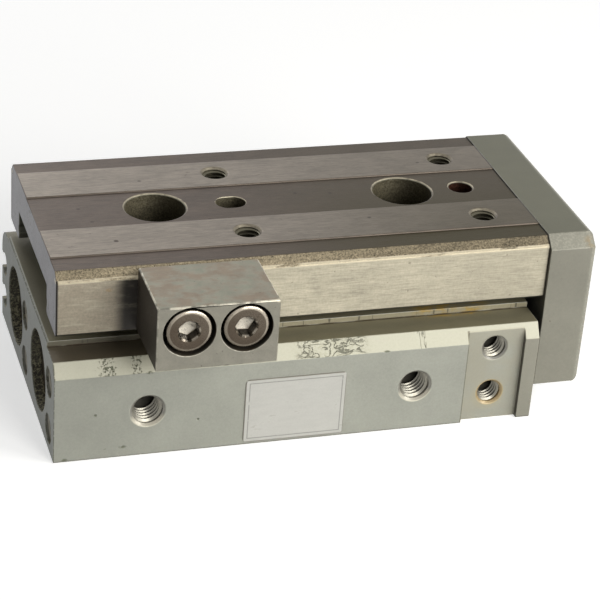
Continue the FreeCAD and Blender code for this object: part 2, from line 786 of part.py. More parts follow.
# Table: an inverted channel whose top carries two raised ground strips
def makeTable():
    body = newBody("table")
    half = "(table_width / 2)"
    inner = "(channel_width / 2)"
    right = [("strip_inner / 2", stripLevel), ("strip_inner / 2", tableTop), ("strip_outer / 2", tableTop),
             ("strip_outer / 2", stripLevel), (f"{half} - table_chamfer", stripLevel),
             (half, f"{stripLevel} - table_chamfer"), (half, f"{tableBottom} + table_edge"),
             (f"{half} - table_edge", tableBottom), (f"{inner} + table_edge", tableBottom),
             (inner, f"{tableBottom} + table_edge"), (inner, channelTop)]
    left = [(f"-({across})", up) for across, up in reversed(right)]
    section = newSketch(body, "tableSection", "YZ", tableRear)
    polygon(section, right + left)
    tableLength = f"{tableFront} - {tableRear}"
    pad(body, section, tableLength)
    cutRaceways(body, "YZ", tableFront, tableLength)

    access = holeSketch(body, "tableAccess", "XY", stripLevel, [(accessRearX, "0"), (accessFrontX, "0")],
                        "access_diameter")
    drill(body, access, "access_diameter", f"{tableTop} - {channelTop}", rim="access_rim")
    firstX = f"({tableRear} + mount_hole_first)"
    secondX = f"({firstX} + mount_hole_pitch)"
    corners = [(along, f"{sign} * mount_hole_spread / 2") for along in (firstX, secondX) for sign in (-1, 1)]
    holes = holeSketch(body, "tableHoles", "XY", tableTop, corners, "mount_hole_diameter")
    drill(body, holes, "mount_hole_diameter", f"{tableTop} - {channelTop}", rim="mount_hole_rim")

    pinHole = holeSketch(body, "pinHole", "XY", stripLevel, [(secondX, "0")], "pin_diameter")
    drill(body, pinHole, "pin_diameter", "pin_depth", rim="pin_rim")
    slotEnds = [(f"{firstX} + {sign} * pin_slot_travel / 2", "0") for sign in (-1, 1)]
    for i, end in enumerate(slotEnds):
        slot = holeSketch(body, f"pinSlotEnd{i + 1}", "XY", stripLevel, [end], "pin_diameter")
        pocket(body, slot, "pin_depth")
    waist = newSketch(body, "pinSlotWaist", "XY", stripLevel)
    rectangle(waist, slotEnds[0][0], "-pin_diameter / 2", slotEnds[1][0], "pin_diameter / 2")
    pocket(body, waist, "pin_depth")

    stopperTaps = holeSketch(body, "stopperTaps", "XZ", half, stopperScrewCentres(),
                             "screw_diameter + 2 * thread_clearance")
    pocket(body, stopperTaps, "screw_length - (stopper_depth - screw_sink) + bottom_clearance")
    plateTaps = holeSketch(body, "plateTaps", "YZ", tableFront, plateScrewCentres(),
                           "screw_diameter + 2 * thread_clearance")
    pocket(body, plateTaps, "plate_screw_length - (plate_thickness - plate_screw_sink) + bottom_clearance")
    nodes["table"] = body


# End plate: joins the table to both rods
def plateScrewCentres():
    return [(f"{sign} * plate_screw_spread / 2", "plate_screw_height") for sign in (-1, 1)]


def makeEndPlate():
    body = newBody("end_plate")
    half = "(plate_width / 2)"
    section = newSketch(body, "plateSection", "YZ", tableFront)
    polygon(section, [(f"-{half}", "plate_bottom"), (f"-{half}", f"{tableTop} - plate_corner_height"),
                      (f"-{half} + plate_corner_width", tableTop),
                      (f"{half} - plate_corner_width", tableTop),
                      (half, f"{tableTop} - plate_corner_height"), (half, "plate_bottom")])
    pad(body, section, "plate_thickness")
    face = value(plateFront)
    dress(body, "Fillet", "plateFrontRound", "plate_round",
          lambda box: box.XLength < 1e-4 and abs(box.XMin - face) < 1e-3)

    rods = [(across, "bore_height") for across in sides.values()]
    bushes = holeSketch(body, "bushSeats", "YZ", tableFront, rods, "bush_diameter")
    pocket(body, bushes, "bush_length", flip=True)
    heads = holeSketch(body, "rodBoltSinks", "YZ", plateFront, rods, "rod_bolt_head + 2 * stop_gap")
    pocket(body, heads, "rod_bolt_sink")
    shanks = holeSketch(body, "rodBoltHoles", "YZ", plateFront, rods, "rod_bolt_diameter + 2 * stop_gap")
    pocket(body, shanks, "plate_thickness")

    screws = plateScrewCentres()
    sinks = holeSketch(body, "plateScrewSinks", "YZ", plateFront, screws, "screw_head + 2 * stop_gap")
    pocket(body, sinks, "plate_screw_sink")
    holes = holeSketch(body, "plateScrewHoles", "YZ", plateFront, screws, "screw_diameter + 2 * stop_gap")
    pocket(body, holes, "plate_thickness")

    corners = [(f"{sign} * front_hole_spread / 2", "front_hole_height") for sign in (-1, 1)]
    corners += [(across, "front_hole_height + front_hole_pitch") for across, _ in corners]
    taps = holeSketch(body, "frontTaps", "YZ", plateFront, corners, "mount_hole_diameter")
    drill(body, taps, "mount_hole_diameter", "front_hole_depth", rim="mount_hole_rim")
    nodes["end_plate"] = body


def makeEndPlateScrews():
    screws = []
    for i, (across, up) in enumerate(plateScrewCentres()):
        screws.append(capScrew(f"plateScrew{i + 1}", "screw_diameter", "plate_screw_length", "screw_head",
                               "screw_head_height", "screw_key", "screw_key_depth", across,
                               f"{plateFront} - plate_screw_sink", up))
    nodes["end_plate_screws"] = group("end_plate_screws", screws)


# Stopper block: screwed to the table's near side, it meets the stroke adjuster
stopperRearX = f"({tableRear} + stopper_rear)"
stopperBottom = f"({tableBottom} + stopper_lift)"
stopperFace = "(table_width / 2 + stopper_depth)"


def stopperScrewCentres():
    first = f"({stopperRearX} + screw_first)"
    level = f"{stopperBottom} + screw_height"
    return [(first, level), (f"{first} + screw_pitch", level)]


def makeStopper():
    body = newBody("stopper_block")
    outline = newSketch(body, "stopperOutline", "XZ", "table_width / 2")
    rectangle(outline, stopperRearX, stopperBottom, f"{stopperRearX} + stopper_length",
              f"{stopperBottom} + stopper_height")
    pad(body, outline, "stopper_depth")
    inside = -value("table_width / 2")
    dress(body, "Chamfer", "stopperEdges", "stopper_edge", lambda box: box.YMin < inside - 1e-3)
    sinks = holeSketch(body, "stopperSinks", "XZ", stopperFace, stopperScrewCentres(), "screw_sink_diameter")
    pocket(body, sinks, "screw_sink")
    holes = holeSketch(body, "stopperHoles", "XZ", stopperFace, stopperScrewCentres(),
                       "screw_diameter + 2 * stop_gap")
    pocket(body, holes, "stopper_depth")
    nodes["stopper_block"] = body

    screws = []
    for i, (along, up) in enumerate(stopperScrewCentres()):
        screw = capScrew(f"stopperScrew{i + 1}", "screw_diameter", "screw_length", "screw_head",
                         "screw_head_height", "screw_key", "screw_key_depth", "0", "0", "0")
        screw.Placement = FreeCAD.Placement(vec(0, 0, 0), FreeCAD.Rotation(vec(0, 0, 1), -90))
        place(screw, along, f"-{stopperFace} + screw_sink", up)
        doc.recompute()
        screws.append(screw)
    nodes["stopper_screws"] = group("stopper_screws", screws)


def makeLabel():
    """A blank foil label on the near side."""
    body = newBody("name_label")
    outline = newSketch(body, "labelOutline", "XZ", side)
    left = f"({rear} + label_rear)"
    rectangle(outline, left, "label_bottom", f"{left} + label_length", "label_bottom + label_height")
    pad(body, outline, "label_thickness")
    nodes["name_label"] = body


makeBody()
makeGuideBlock()
makeGuideScrews()
makeBallRows()
makeTurnsAndScrapers()
for sideName, sideY in sides.items():
    makeRearFittings(sideName, sideY)
    makeFrontFittings(sideName, sideY)
    makeRetainingRing("rear_ring_" + sideName, sideY, f"{rear} + ring_setback")
    makeRetainingRing("front_ring_" + sideName, sideY, f"{front} - ring_setback - ring_thickness")
    makePistonAndRod(sideName, sideY)
makeTable()
makeEndPlate()
makeEndPlateScrews()
makeStopper()
makeLabel()
doc.recompute()

# Checks before anything is written
for thing in doc.Objects:
    if any(word in thing.State for word in ("Invalid", "Error")):
        raise RuntimeError(f"{thing.Label} failed: {thing.State}")
for name, thing in nodes.items():
    if thing.Shape.isNull() or not thing.Shape.isValid() or not thing.Shape.Solids:
        raise RuntimeError(name + " is not a valid solid")

os.makedirs("parts", exist_ok=True)
for name, thing in nodes.items():
    thing.Shape.exportStep(f"parts/{name}.step")
print(len(nodes), "nodes,", round(value(bodyLength), 3), "mm body")
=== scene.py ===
import math
from functools import partialmethod

import bmesh
import bpy
import numpy as np
from mathutils import Matrix, Vector


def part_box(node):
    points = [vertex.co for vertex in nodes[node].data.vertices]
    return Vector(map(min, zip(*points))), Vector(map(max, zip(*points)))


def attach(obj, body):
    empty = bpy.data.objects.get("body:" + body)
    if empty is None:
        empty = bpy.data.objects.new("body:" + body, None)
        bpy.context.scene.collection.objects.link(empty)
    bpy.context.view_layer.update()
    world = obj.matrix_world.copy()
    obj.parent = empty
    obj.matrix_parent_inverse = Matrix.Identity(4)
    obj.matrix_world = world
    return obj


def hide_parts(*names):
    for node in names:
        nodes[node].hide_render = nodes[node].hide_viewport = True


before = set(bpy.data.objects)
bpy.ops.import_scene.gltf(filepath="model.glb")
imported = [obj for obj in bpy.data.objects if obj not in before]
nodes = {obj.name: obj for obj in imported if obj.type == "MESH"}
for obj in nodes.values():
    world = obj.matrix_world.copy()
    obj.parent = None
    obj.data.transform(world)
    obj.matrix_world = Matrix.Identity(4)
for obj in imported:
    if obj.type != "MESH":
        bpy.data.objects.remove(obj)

# Pneumatic slide table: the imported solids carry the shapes, this file dresses them.
# Lengths are written in millimetres and turned to metres where a mesh, lamp or camera is made.
mm = 0.001
scene = bpy.context.scene
bpy.context.view_layer.update()
print("frame loaded:", len(nodes), "nodes")


# meshes
def gridShell(points):
    # points: rows along the path, columns round a closed profile, 3 numbers each. A quad joins each point to
    # its neighbours, and a fan to the middle of the first and last row closes both ends.
    rows, columns = points.shape[:2]
    r, c = np.meshgrid(np.arange(rows - 1), np.arange(columns), indexing="ij")
    n = (c + 1) % columns
    low, high = r * columns, (r + 1) * columns
    quads = np.stack([low + c, low + n, high + n, high + c], -1).reshape(-1, 4)
    c, n = np.arange(columns), (np.arange(columns) + 1) % columns
    first, last = rows * columns, rows * columns + 1
    startFan = np.stack([n, c, np.full(columns, first)], -1)
    endFan = np.stack([(rows - 1) * columns + c, (rows - 1) * columns + n, np.full(columns, last)], -1)
    verts = np.concatenate([points.reshape(-1, 3), points[0].mean(0)[None], points[-1].mean(0)[None]])
    return verts, quads, np.concatenate([startFan, endFan])


def volumeOf(verts, quads, tris):
    # the enclosed volume with its sign, from the wedge of each triangle with the origin
    allTris = np.concatenate([quads[:, [0, 1, 2]], quads[:, [0, 2, 3]], tris])
    a, b, c = (verts[allTris[:, k]] for k in range(3))
    return float(np.einsum("ij,ij->i", a, np.cross(b, c)).sum()) / 6


def shellMesh(shells, sharpAngle=32):
    # joins closed shells, in millimetres, into one mesh whose faces all point outwards
    allVerts, allFaces, start = [], [], 0
    for verts, quads, tris in shells:
        if volumeOf(verts, quads, tris) < 0:
            quads, tris = quads[:, ::-1], tris[:, ::-1]
        allVerts.append(verts * mm)
        allFaces += (quads + start).tolist() + (tris + start).tolist()
        start += len(verts)
    mesh = bpy.data.meshes.new("shell")
    mesh.from_pydata(np.concatenate(allVerts).tolist(), [], allFaces)
    mesh.update()
    mesh.polygons.foreach_set("use_smooth", np.ones(len(mesh.polygons), bool))
    mesh.set_sharp_from_angle(angle=math.radians(sharpAngle))
    return mesh


def addPiece(name, mesh, body, finish, replaced=()):
    mesh.name = name
    mesh.materials.clear()
    mesh.materials.append(finish)
    piece = bpy.data.objects.new(name, mesh)
    scene.collection.objects.link(piece)
    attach(piece, body)
    if replaced:
        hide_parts(*replaced)
    return piece


def axisFrame(direction):
    # three unit vectors: two across the direction, and the direction itself
    along = np.array(direction, float) / np.linalg.norm(direction)
    helper = np.array([0.0, 0.0, 1.0]) if abs(along[2]) < 0.9 else np.array([1.0, 0.0, 0.0])
    across = np.cross(helper, along)
    across /= np.linalg.norm(across)
    return across, np.cross(along, across), along


def turnedShell(centre, direction, radii, heights, columns):
    # a turned form: each row has a radius for every angle and a height along the axis
    across, up, along = axisFrame(direction)
    angle = np.linspace(0, 2 * math.pi, columns, endpoint=False)
    ring = np.cos(angle)[:, None] * across + np.sin(angle)[:, None] * up
    points = np.array(centre) + radii[:, :, None] * ring[None] + heights[:, None, None] * along
    return gridShell(points)


def threadShell(centre, direction, thread):
    # A ridge on a helix that climbs one pitch a turn. Its section is a low trapezium that swells in the
    # first half turn and dies in the last.
    across, up, along = axisFrame(direction)
    turns = (thread["end"] - thread["start"]) / thread["pitch"]
    steps = int(turns * thread["stepsPerTurn"])
    turn = np.linspace(0, turns, steps)
    swell = np.clip(np.minimum(turn, turns - turn) / 0.5, 0.04, 1)
    depth = -(thread["start"] + turn * thread["pitch"])
    half = thread["pitch"] / 2
    side = np.array([-0.9, -0.22, 0.22, 0.9]) * half
    height = thread["outer"] - thread["drill"]
    inward = np.array([-0.06, height, height, -0.06])
    radius = thread["outer"] - inward[None] * np.where(inward > 0, swell[:, None], 1)
    lift = depth[:, None] + side[None] * swell[:, None]
    angle = turn * 2 * math.pi
    ring = np.cos(angle)[:, None] * across + np.sin(angle)[:, None] * up
    return gridShell(np.array(centre) + radius[:, :, None] * ring[:, None] + lift[:, :, None] * along)


def socketScrewShell(centre, direction, screw, turn):
    # A turned head whose inner rows follow a hexagon and whose side carries knurls: the hexagon's radius
    # is its half width over the cosine of the angle from the nearest flat's middle.
    columns = screw["columns"]
    angle = np.linspace(0, 2 * math.pi, columns, endpoint=False)
    fromFlat = (angle + turn) % (math.pi / 3) - math.pi / 6
    hexagon = screw["key"] / 2 / np.cos(fromFlat)
    circle = np.ones(columns)
    knurl = np.abs(np.sin(angle * screw["knurls"] / 2)) ** 0.7 * screw["knurlDepth"]
    outer, depth, height = screw["radius"], screw["keyDepth"], screw["height"]
    rows = [(hexagon * 0.35, -depth - 0.28), (hexagon * 0.97, -depth - 0.02), (hexagon, -depth + 0.05),
            (hexagon, -0.34), (circle * screw["key"] * 0.6, -0.02), (circle * screw["key"] * 0.625, 0.0),
            (circle * (outer - 0.5), 0.0), (circle * (outer - 0.28), -0.05), (circle * (outer - 0.12), -0.18),
            (circle * (outer - 0.05), -0.42), (outer - 0.02 - knurl, -0.62),
            (outer - 0.02 - knurl, 0.45 - height),
            (circle * (outer - 0.06), 0.3 - height), (circle * (outer - 0.12), -height),
            (circle * screw["shank"], -height), (circle * screw["shank"], -screw["length"] + 0.4),
            (circle * (screw["shank"] - 0.35), -screw["length"])]
    radii = np.stack([row[0] for row in rows])
    return turnedShell(centre, direction, radii, np.array([row[1] for row in rows]), columns)


def mergedCopy(source):
    # the node's own surface with its corners joined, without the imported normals
    mesh = nodes[source].data.copy()
    if "custom_normal" in mesh.attributes:
        mesh.attributes.remove(mesh.attributes["custom_normal"])
    work = bmesh.new()
    work.from_mesh(mesh)
    bmesh.ops.remove_doubles(work, verts=work.verts, dist=1e-6)
    work.to_mesh(mesh)
    work.free()
    return mesh


def breakEdges(mesh, width, turn=25, large=20):
    # Flat faces are made whole, then each edge that turns by more than the angle beside a face larger than
    # the area in square millimetres becomes a rounded strip. Its borders stay sharp, so flats shade flat.
    work = bmesh.new()
    work.from_mesh(mesh)
    bmesh.ops.dissolve_limit(work, angle_limit=math.radians(0.4), verts=work.verts, edges=work.edges)
    chosen = []
    for edge in work.edges:
        areas = sorted(face.calc_area() / mm ** 2 for face in edge.link_faces)
        if edge.calc_face_angle(0) > math.radians(turn) and areas[-1] > large and areas[0] > 0.04:
            chosen.append(edge)
    made = bmesh.ops.bevel(work, geom=chosen, offset=width * mm, offset_type="OFFSET", segments=3,
                           profile=0.5, affect="EDGES", clamp_overlap=False, miter_outer="ARC")
    strips = set(made["faces"])
    for edge in work.edges:
        inStrips = sum(face in strips for face in edge.link_faces)
        edge.smooth = inStrips == 2 or (inStrips == 0 and edge.calc_face_angle(0) < math.radians(turn))
    for face in work.faces:
        face.smooth = True
    work.to_mesh(mesh)
    work.free()


def vertsOf(mesh):
    verts = np.zeros(len(mesh.vertices) * 3)
    mesh.vertices.foreach_get("co", verts)
    return verts.reshape(-1, 3) / mm


def moveVerts(mesh, verts):
    mesh.vertices.foreach_set("co", (verts * mm).ravel())
    mesh.update()


def openHole(mesh, centre, direction, thread):
    # a tapped hole's wall stands back from the drill's radius to the thread's outer one, and the rim's
    # cone ends higher by the same step, so that it keeps its slope
    verts = vertsOf(mesh)
    along = np.array(direction, float)
    depth = -(verts - centre) @ along
    flat = verts - centre + depth[:, None] * along
    radius = np.linalg.norm(flat, axis=1)
    drilled = (np.abs(radius - thread["drill"]) < 0.03) & (depth > -0.05) & (depth < thread["deep"] + 0.05)
    flat[drilled] *= (thread["outer"] / radius[drilled])[:, None]
    coneEnd = thread["rim"] - thread["drill"]
    depth[drilled & (np.abs(depth - coneEnd) < 0.05)] = max(thread["rim"] - thread["outer"], 0)
    verts[drilled] = (np.array(centre) + flat - depth[:, None] * along)[drilled]
    moveVerts(mesh, verts)


def tightenBase(mesh, edge):
    # the points of the rounded base edges slide out along their radii to a smaller round in the corner
    verts = vertsOf(mesh)
    reach = edge["half"] - edge["round"]
    offset = np.stack([np.abs(verts[:, 1]) - reach, verts[:, 2] - edge["round"]], -1)
    away = np.linalg.norm(offset, axis=1)
    onRound = (offset[:, 0] > 1e-3) & (offset[:, 1] < -1e-3) & (np.abs(away - edge["round"]) < 0.02)
    spot = offset[onRound] * (edge["tight"] / edge["round"]) + [edge["half"] - edge["tight"], edge["tight"]]
    verts[onRound, 1], verts[onRound, 2] = np.sign(verts[onRound, 1]) * spot[:, 0], spot[:, 1]
    moveVerts(mesh, verts)


# finishes
# the stopper screws: middles along x, height, and how far the heads sit under the block's face
screwPlace = {"across": (-21.5, -12.65), "height": 27.11, "sunk": 0.2}


class Finish:
    # one shader and the recipes that every finish is mixed from; patterns are sized in millimetres
    def __init__(self, name, metal, rough):
        self.material = bpy.data.materials.new(name)
        self.material.use_nodes = True
        self.tree = self.material.node_tree
        self.shader = self.tree.nodes["Principled BSDF"]
        self.set("Metallic", metal)
        self.set("Roughness", rough)
        self.coords = self.tree.nodes.new("ShaderNodeTexCoord")
        self.spot = self.stretched(1, 1, 1)
        self.x, self.y, self.z = self.split(self.spot)
        self.nx, self.ny, self.nz = self.split(self.coords.outputs["Normal"])

    def feed(self, socket, value):
        if isinstance(value, bpy.types.NodeSocket):
            self.tree.links.new(value, socket)
        elif socket.type == "RGBA" and len(value) == 3:
            socket.default_value = (*value, 1)
        else:
            socket.default_value = value

    def set(self, socket, value):
        self.feed(self.shader.inputs[socket], value)

    def node(self, kind, inputs, **settings):
        made = self.tree.nodes.new(kind)
        for key, value in settings.items():
            setattr(made, key, value)
        for key, value in inputs.items():
            self.feed(made.inputs[key], value)
        return made

    def stretched(self, sx, sy, sz):
        # object coordinates in millimetres, times a stretch for each axis
        spot, scale = self.coords.outputs["Object"], (sx / mm, sy / mm, sz / mm)
        return self.node("ShaderNodeMapping", {"Vector": spot, "Scale": scale}).outputs[0]

    def split(self, vector):
        return self.node("ShaderNodeSeparateXYZ", {0: vector}).outputs[:]

    def noise(self, scale, detail=3, rough=0.55, vector=None, distortion=0):
        inputs = {"Vector": vector or self.spot, "Scale": scale, "Detail": detail, "Roughness": rough,
                  "Distortion": distortion}
        return self.node("ShaderNodeTexNoise", inputs).outputs[0]

    def chain(self, kind, a, *others):
        for b in others:
            a = self.node("ShaderNodeMath", {0: a, 1: b}, operation=kind).outputs[0]
        return a

    times = partialmethod(chain, "MULTIPLY")
    plus = partialmethod(chain, "ADD")
    minus = partialmethod(chain, "SUBTRACT")
    most = partialmethod(chain, "MAXIMUM")
    least = partialmethod(chain, "MINIMUM")

    def size(self, value):
        return self.node("ShaderNodeMath", {0: value}, operation="ABSOLUTE").outputs[0]

    def ramp(self, value, low, high, out0=0.0, out1=1.0, kind="SMOOTHSTEP"):
        inputs = {"Value": value, "From Min": low, "From Max": high, "To Min": out0, "To Max": out1}
        return self.node("ShaderNodeMapRange", inputs, interpolation_type=kind).outputs[0]

    # a straight ramp, for tones and roughness
    vary = partialmethod(ramp, kind="LINEAR")

    def falls(self, value, start, end):
        # 1 up to the start, 0 from the end on
        return self.ramp(value, start, end, 1, 0)

    def inside(self, value, low, high, edge=0.1):
        return self.times(self.ramp(value, low - edge, low), self.falls(value, high, high + edge))

    def ring(self, place, axis, inner, outer):
        # a round band between two soft edges, each given as its start and end radius
        return self.minus(self.column(place, axis, *outer), self.column(place, axis, *inner))

    def strokes(self, pattern, thin, thick):
        # dark lines where a pattern passes through its middle value
        return self.falls(self.size(self.minus(pattern, 0.5)), thin, thick)

    def vector(self, kind, a, b=(0, 0, 0)):
        return self.node("ShaderNodeVectorMath", {0: a, 1: b}, operation=kind).outputs

    def patch(self, place, radii, core=0.5):
        # a soft spot round a point: 1 inside, falling to 0 at the radii
        near = self.vector("DIVIDE", self.vector("SUBTRACT", self.spot, place)[0], radii)[0]
        return self.falls(self.vector("LENGTH", near)["Value"], core, 1)

    def column(self, place, axis, inner, outer):
        # 1 within a cylinder of radius inner round an axis, 0 beyond outer
        keep = [0 if k == axis else 1 for k in range(3)]
        flat = self.vector("MULTIPLY", self.vector("SUBTRACT", self.spot, place)[0], keep)[0]
        return self.falls(self.vector("LENGTH", flat)["Value"], inner, outer)

    def facing(self, component, sign=0, low=0.88, high=0.95):
        # 1 where the surface faces along that axis
        if sign == 0:
            component = self.size(component)
        elif sign < 0:
            component = self.times(component, -1)
        return self.ramp(component, low, high)

    def mix(self, factor, a, b, kind="MIX"):
        made = self.node("ShaderNodeMix", {0: factor}, data_type="RGBA", blend_type=kind)
        self.feed(made.inputs[6], a)
        self.feed(made.inputs[7], b)
        return made.outputs[2]

    def layers(self, base, *steps):
        for factor, colour in steps:
            base = self.mix(factor, base, colour)
        return base

    def shade(self, colour, factor):
        # colour times a factor that varies over the surface
        grey = self.node("ShaderNodeCombineXYZ", {0: factor, 1: factor, 2: factor}).outputs[0]
        return self.mix(1.0, colour, grey, "MULTIPLY")

    def bump(self, height, distance, strength=1.0):
        inputs = {"Height": height, "Distance": distance * mm, "Strength": strength}
        self.set("Normal", self.node("ShaderNodeBump", inputs).outputs[0])


def srgb(r, g, b):
    # an 8-bit screen colour as the linear one that shaders take
    c = np.array([r, g, b]) / 255
    return tuple(float(v) for v in np.where(c <= 0.04045, c / 12.92, ((c + 0.055) / 1.055) ** 2.4))


def linear(look):
    return {name: srgb(*colour) for name, colour in look.items()}


steelLook = {
    "lightStrip": (127, 119, 109), "darkStrip": (84, 74, 66), "side": (178, 171, 151), "end": (112, 111, 114),
    "edge": (78, 70, 62), "chamfer": (122, 112, 92), "chamferDark": (90, 82, 66), "inside": (84, 84, 74),
    "deep": (126, 119, 98), "tapped": (104, 98, 80), "pin": (86, 56, 44), "rim": (178, 170, 148),
    "brown": (120, 108, 94), "corner": (24, 19, 14), "darker": (60, 53, 30), "seam": (54, 48, 40),
    "sideShadeRight": (134, 128, 112), "speck": (72, 62, 48), "chip": (60, 54, 48), "drop": (150, 122, 78),
    "nick": (70, 60, 52), "gouge": (60, 52, 48), "dot": (48, 40, 34), "worn": (196, 186, 162),
    "foot": (226, 216, 190), "darkening": (26, 22, 18),
}
tableMarks = {
    # middle, radius and finish of each hole's wall
    "holes": [((-19.25, 0), 5.3, "deep"), ((22.95, 0), 5.3, "deep"), ((33.35, 0), 2.3, "pin"),
              ((-6.65, 0), 2.8, "deep"), ((-6.65, -10.75), 2.4, "tapped"), ((33.35, -10.75), 2.4, "tapped"),
              ((-6.65, 10.75), 2.4, "tapped"), ((33.35, 10.75), 2.4, "tapped")],
    "dots": [(-19.8, 9.4), (10.6, 0.9), (4.8, 1.7), (-11.5, -5.5), (-30.3, -3.7), (-31.6, 1.1),
             (14.2, -9.2), (29.0, 9.8)],
    "drop": ((-31, -20.65, 28.0), (0.7, 1, 0.4)),
    "nick": ((-28, -11.2, 31.36), (0.5, 0.5, 0.5)),
    "gouge": ((25.06, -1.6, 31.14), (1.1, 0.45, 0.5)),
}


def paintHoles(f, look, colour, grit, wear):
    # speckled walls with painted shade on the walls that face left, and rims with a painted highlight on
    # their far half
    below = f.times(f.falls(f.z, 30.8, 31.0), f.ramp(f.z, 25.3, 25.5))
    edge = f.times(f.ramp(f.z, 30.95, 31.0), f.ramp(wear, 0.3, 0.5, 0.5, 1))
    speckleAndShade = f.times(f.vary(grit, 0.35, 0.65, 0.55, 1.35), f.vary(f.nx, -0.6, 0.5, 0.45, 1.1))
    for (x, y), radius, kind in tableMarks["holes"]:
        wall = f.times(f.column((x, y, 0), 2, radius, radius + 0.05), below)
        # painted highlight: each rim brightens towards its far half
        lit = f.ramp(f.y, y - radius * 0.7, y + radius * 0.5, 0.1, 0.9)
        rim = f.times(f.column((x, y, 0), 2, radius + 0.2, radius + 0.3), edge, lit)
        rim = f.times(rim, 0.4 if kind == "tapped" else 0.8)
        colour = f.layers(colour, (wall, f.shade(look[kind], speckleAndShade)), (rim, look["rim"]))
    return colour


def groundSteel():
    # hardened table: ground strips, darker strips between them, grainy chamfers, milled sides
    f = Finish("groundSteel", 0.8, 0.42)
    look = linear(steelLook)
    along = f.noise(1.0, 4, 0.6, f.stretched(0.25, 5, 5))
    fine = f.noise(1.0, 3, 0.65, f.stretched(0.8, 16, 16))
    hatch = f.noise(1.0, 3, 0.6, f.stretched(5, 1, 1.2))
    blotch = f.noise(0.7, 3, 0.6, f.stretched(0.35, 1.2, 1.2))
    cloud = f.noise(0.16, 4, 0.6)
    coarse = f.noise(2.6, 3, 0.7)
    grit = f.noise(3.4, 3, 0.75)
    wear = f.noise(0.8, 3, 0.6)

    # where each surface lies
    aside = f.size(f.y)
    top = f.facing(f.nz, 1, 0.93, 0.99)
    light = f.times(top, f.ramp(f.z, 31.22, 31.3))
    side = f.times(f.facing(f.ny, 0, 0.93, 0.99), f.ramp(aside, 20.4, 20.6))
    end = f.times(f.facing(f.nx, 0, 0.8, 0.95), f.ramp(f.size(f.x), 38.9, 39.1))
    outer = f.ramp(aside, 19.0, 19.15)
    slope = f.falls(f.most(top, side, end), 0.1, 0.5)
    chamfer = f.times(outer, f.ramp(f.z, 29.5, 29.6), slope)

    # painted shade: the table's underside and channel take a dark colour, and the step walls between the
    # strips a dark brown shade line
    colour = f.mix(f.ramp(f.z, 30.95, 31.0), look["inside"], look["edge"])
    colour = paintHoles(f, look, colour, grit, wear)
    # painted shade and painted reflection: the end faces take a darker, bluish grey than the sides
    colour = f.layers(
        colour, (chamfer, look["chamfer"]), (top, look["darkStrip"]), (light, look["lightStrip"]),
        (side, look["side"]), (end, look["end"]),
        (f.times(chamfer, f.ramp(f.x, -12, 30), 0.75), look["chamferDark"]))

    # grain: along the strips, hatched on the milled sides, gritty on the chamfers
    milled = f.plus(f.vary(hatch, 0.3, 0.7, -0.05, 0.05), f.vary(coarse, 0.3, 0.7, -0.09, 0.09))
    gritty = f.plus(f.vary(grit, 0.35, 0.65, -0.5, 0.5), f.vary(coarse, 0.3, 0.7, -0.3, 0.3))
    ground = f.plus(f.vary(fine, 0.3, 0.7, -0.13, 0.13), f.vary(along, 0.3, 0.7, -0.07, 0.07))
    tone = f.plus(f.vary(along, 0.25, 0.75, 0.78, 1.22), f.vary(fine, 0.2, 0.8, -0.18, 0.18),
                  f.vary(cloud, 0.3, 0.7, -0.1, 0.1), f.vary(blotch, 0.3, 0.7, -0.08, 0.08),
                  f.times(side, milled), f.times(chamfer, gritty), f.times(top, ground))
    colour = f.shade(colour, tone)

    # the near side's left end darkened with a brown tint and its dark corner by the block, both painted
    # shadow of the block, and the top darkened towards the plate as painted shade
    near = f.times(side, f.falls(f.y, -20, -19))
    # painted shade with a brown tint over the near side's left end, in the block's shadow
    brownShade = f.times(near, f.ramp(f.x, -24, -27), f.ramp(blotch, 0.25, 0.6, 0.25, 0.6))
    brownShadeTone = f.shade(look["brown"], f.vary(coarse, 0.3, 0.7, 0.8, 1.2))
    # painted shadow of the block on the near side, darkest right beside it
    corner = f.times(near, f.inside(f.x, -28.2, -26, 2.4), f.ramp(blotch, 0.2, 0.5, 0.75, 0.97))
    ontoDark = f.times(f.falls(light, 0, 1), f.ramp(f.x, -18, 22))
    towardPlate = f.most(f.times(f.ramp(f.x, -12, 38), 0.7), ontoDark)
    # painted shade: the top darkens towards the plate and towards the near side
    darker = f.times(top, towardPlate, f.ramp(f.y, 14, -16, 0.4, 1))
    seam = f.times(f.ramp(f.x, 41.15, 41.4), f.ramp(wear, 0.3, 0.5, 0.6, 0.9))
    # painted shade: the milled side darkens in blotches towards the plate end
    sideShadeRight = f.times(side, f.ramp(f.x, 0, 40, 0, 0.3), f.ramp(blotch, 0.3, 0.6))
    colour = f.layers(
        colour, (brownShade, brownShadeTone), (corner, look["corner"]), (darker, look["darker"]),
        (seam, look["seam"]), (sideShadeRight, look["sideShadeRight"]))

    # small marks, then a pale lip along the chamfer's lower edge as painted highlight, a painted highlight
    # along the bottom edge, and a dark line down the near rear edge
    speck = f.times(f.ramp(f.noise(1.1, 2, 0.5), 0.72, 0.77), 0.4)
    chips = f.times(end, f.ramp(wear, 0.62, 0.66), 0.6)
    drop = f.times(f.patch(*tableMarks["drop"]), f.ramp(grit, 0.4, 0.6), 0.7)
    dots = f.most(*[f.patch((x, y, 31.2), (0.5, 0.4, 1), 0.3) for x, y in tableMarks["dots"]])
    dots = f.times(dots, f.ramp(grit, 0.3, 0.5, 0.4, 1), 0.75)
    # painted highlight along the chamfer's lower edge, broken by blotches
    lip = f.times(outer, f.inside(f.z, 29.5, 29.95, 0.12), f.ramp(blotch, 0.35, 0.5), 0.6)
    # painted highlight along the bottom edge of the sides
    foot = f.times(f.ramp(aside, 20.45, 20.5), f.falls(f.z, 20.5, 20.53), f.ramp(wear, 0.35, 0.45, 0.4, 0.9))
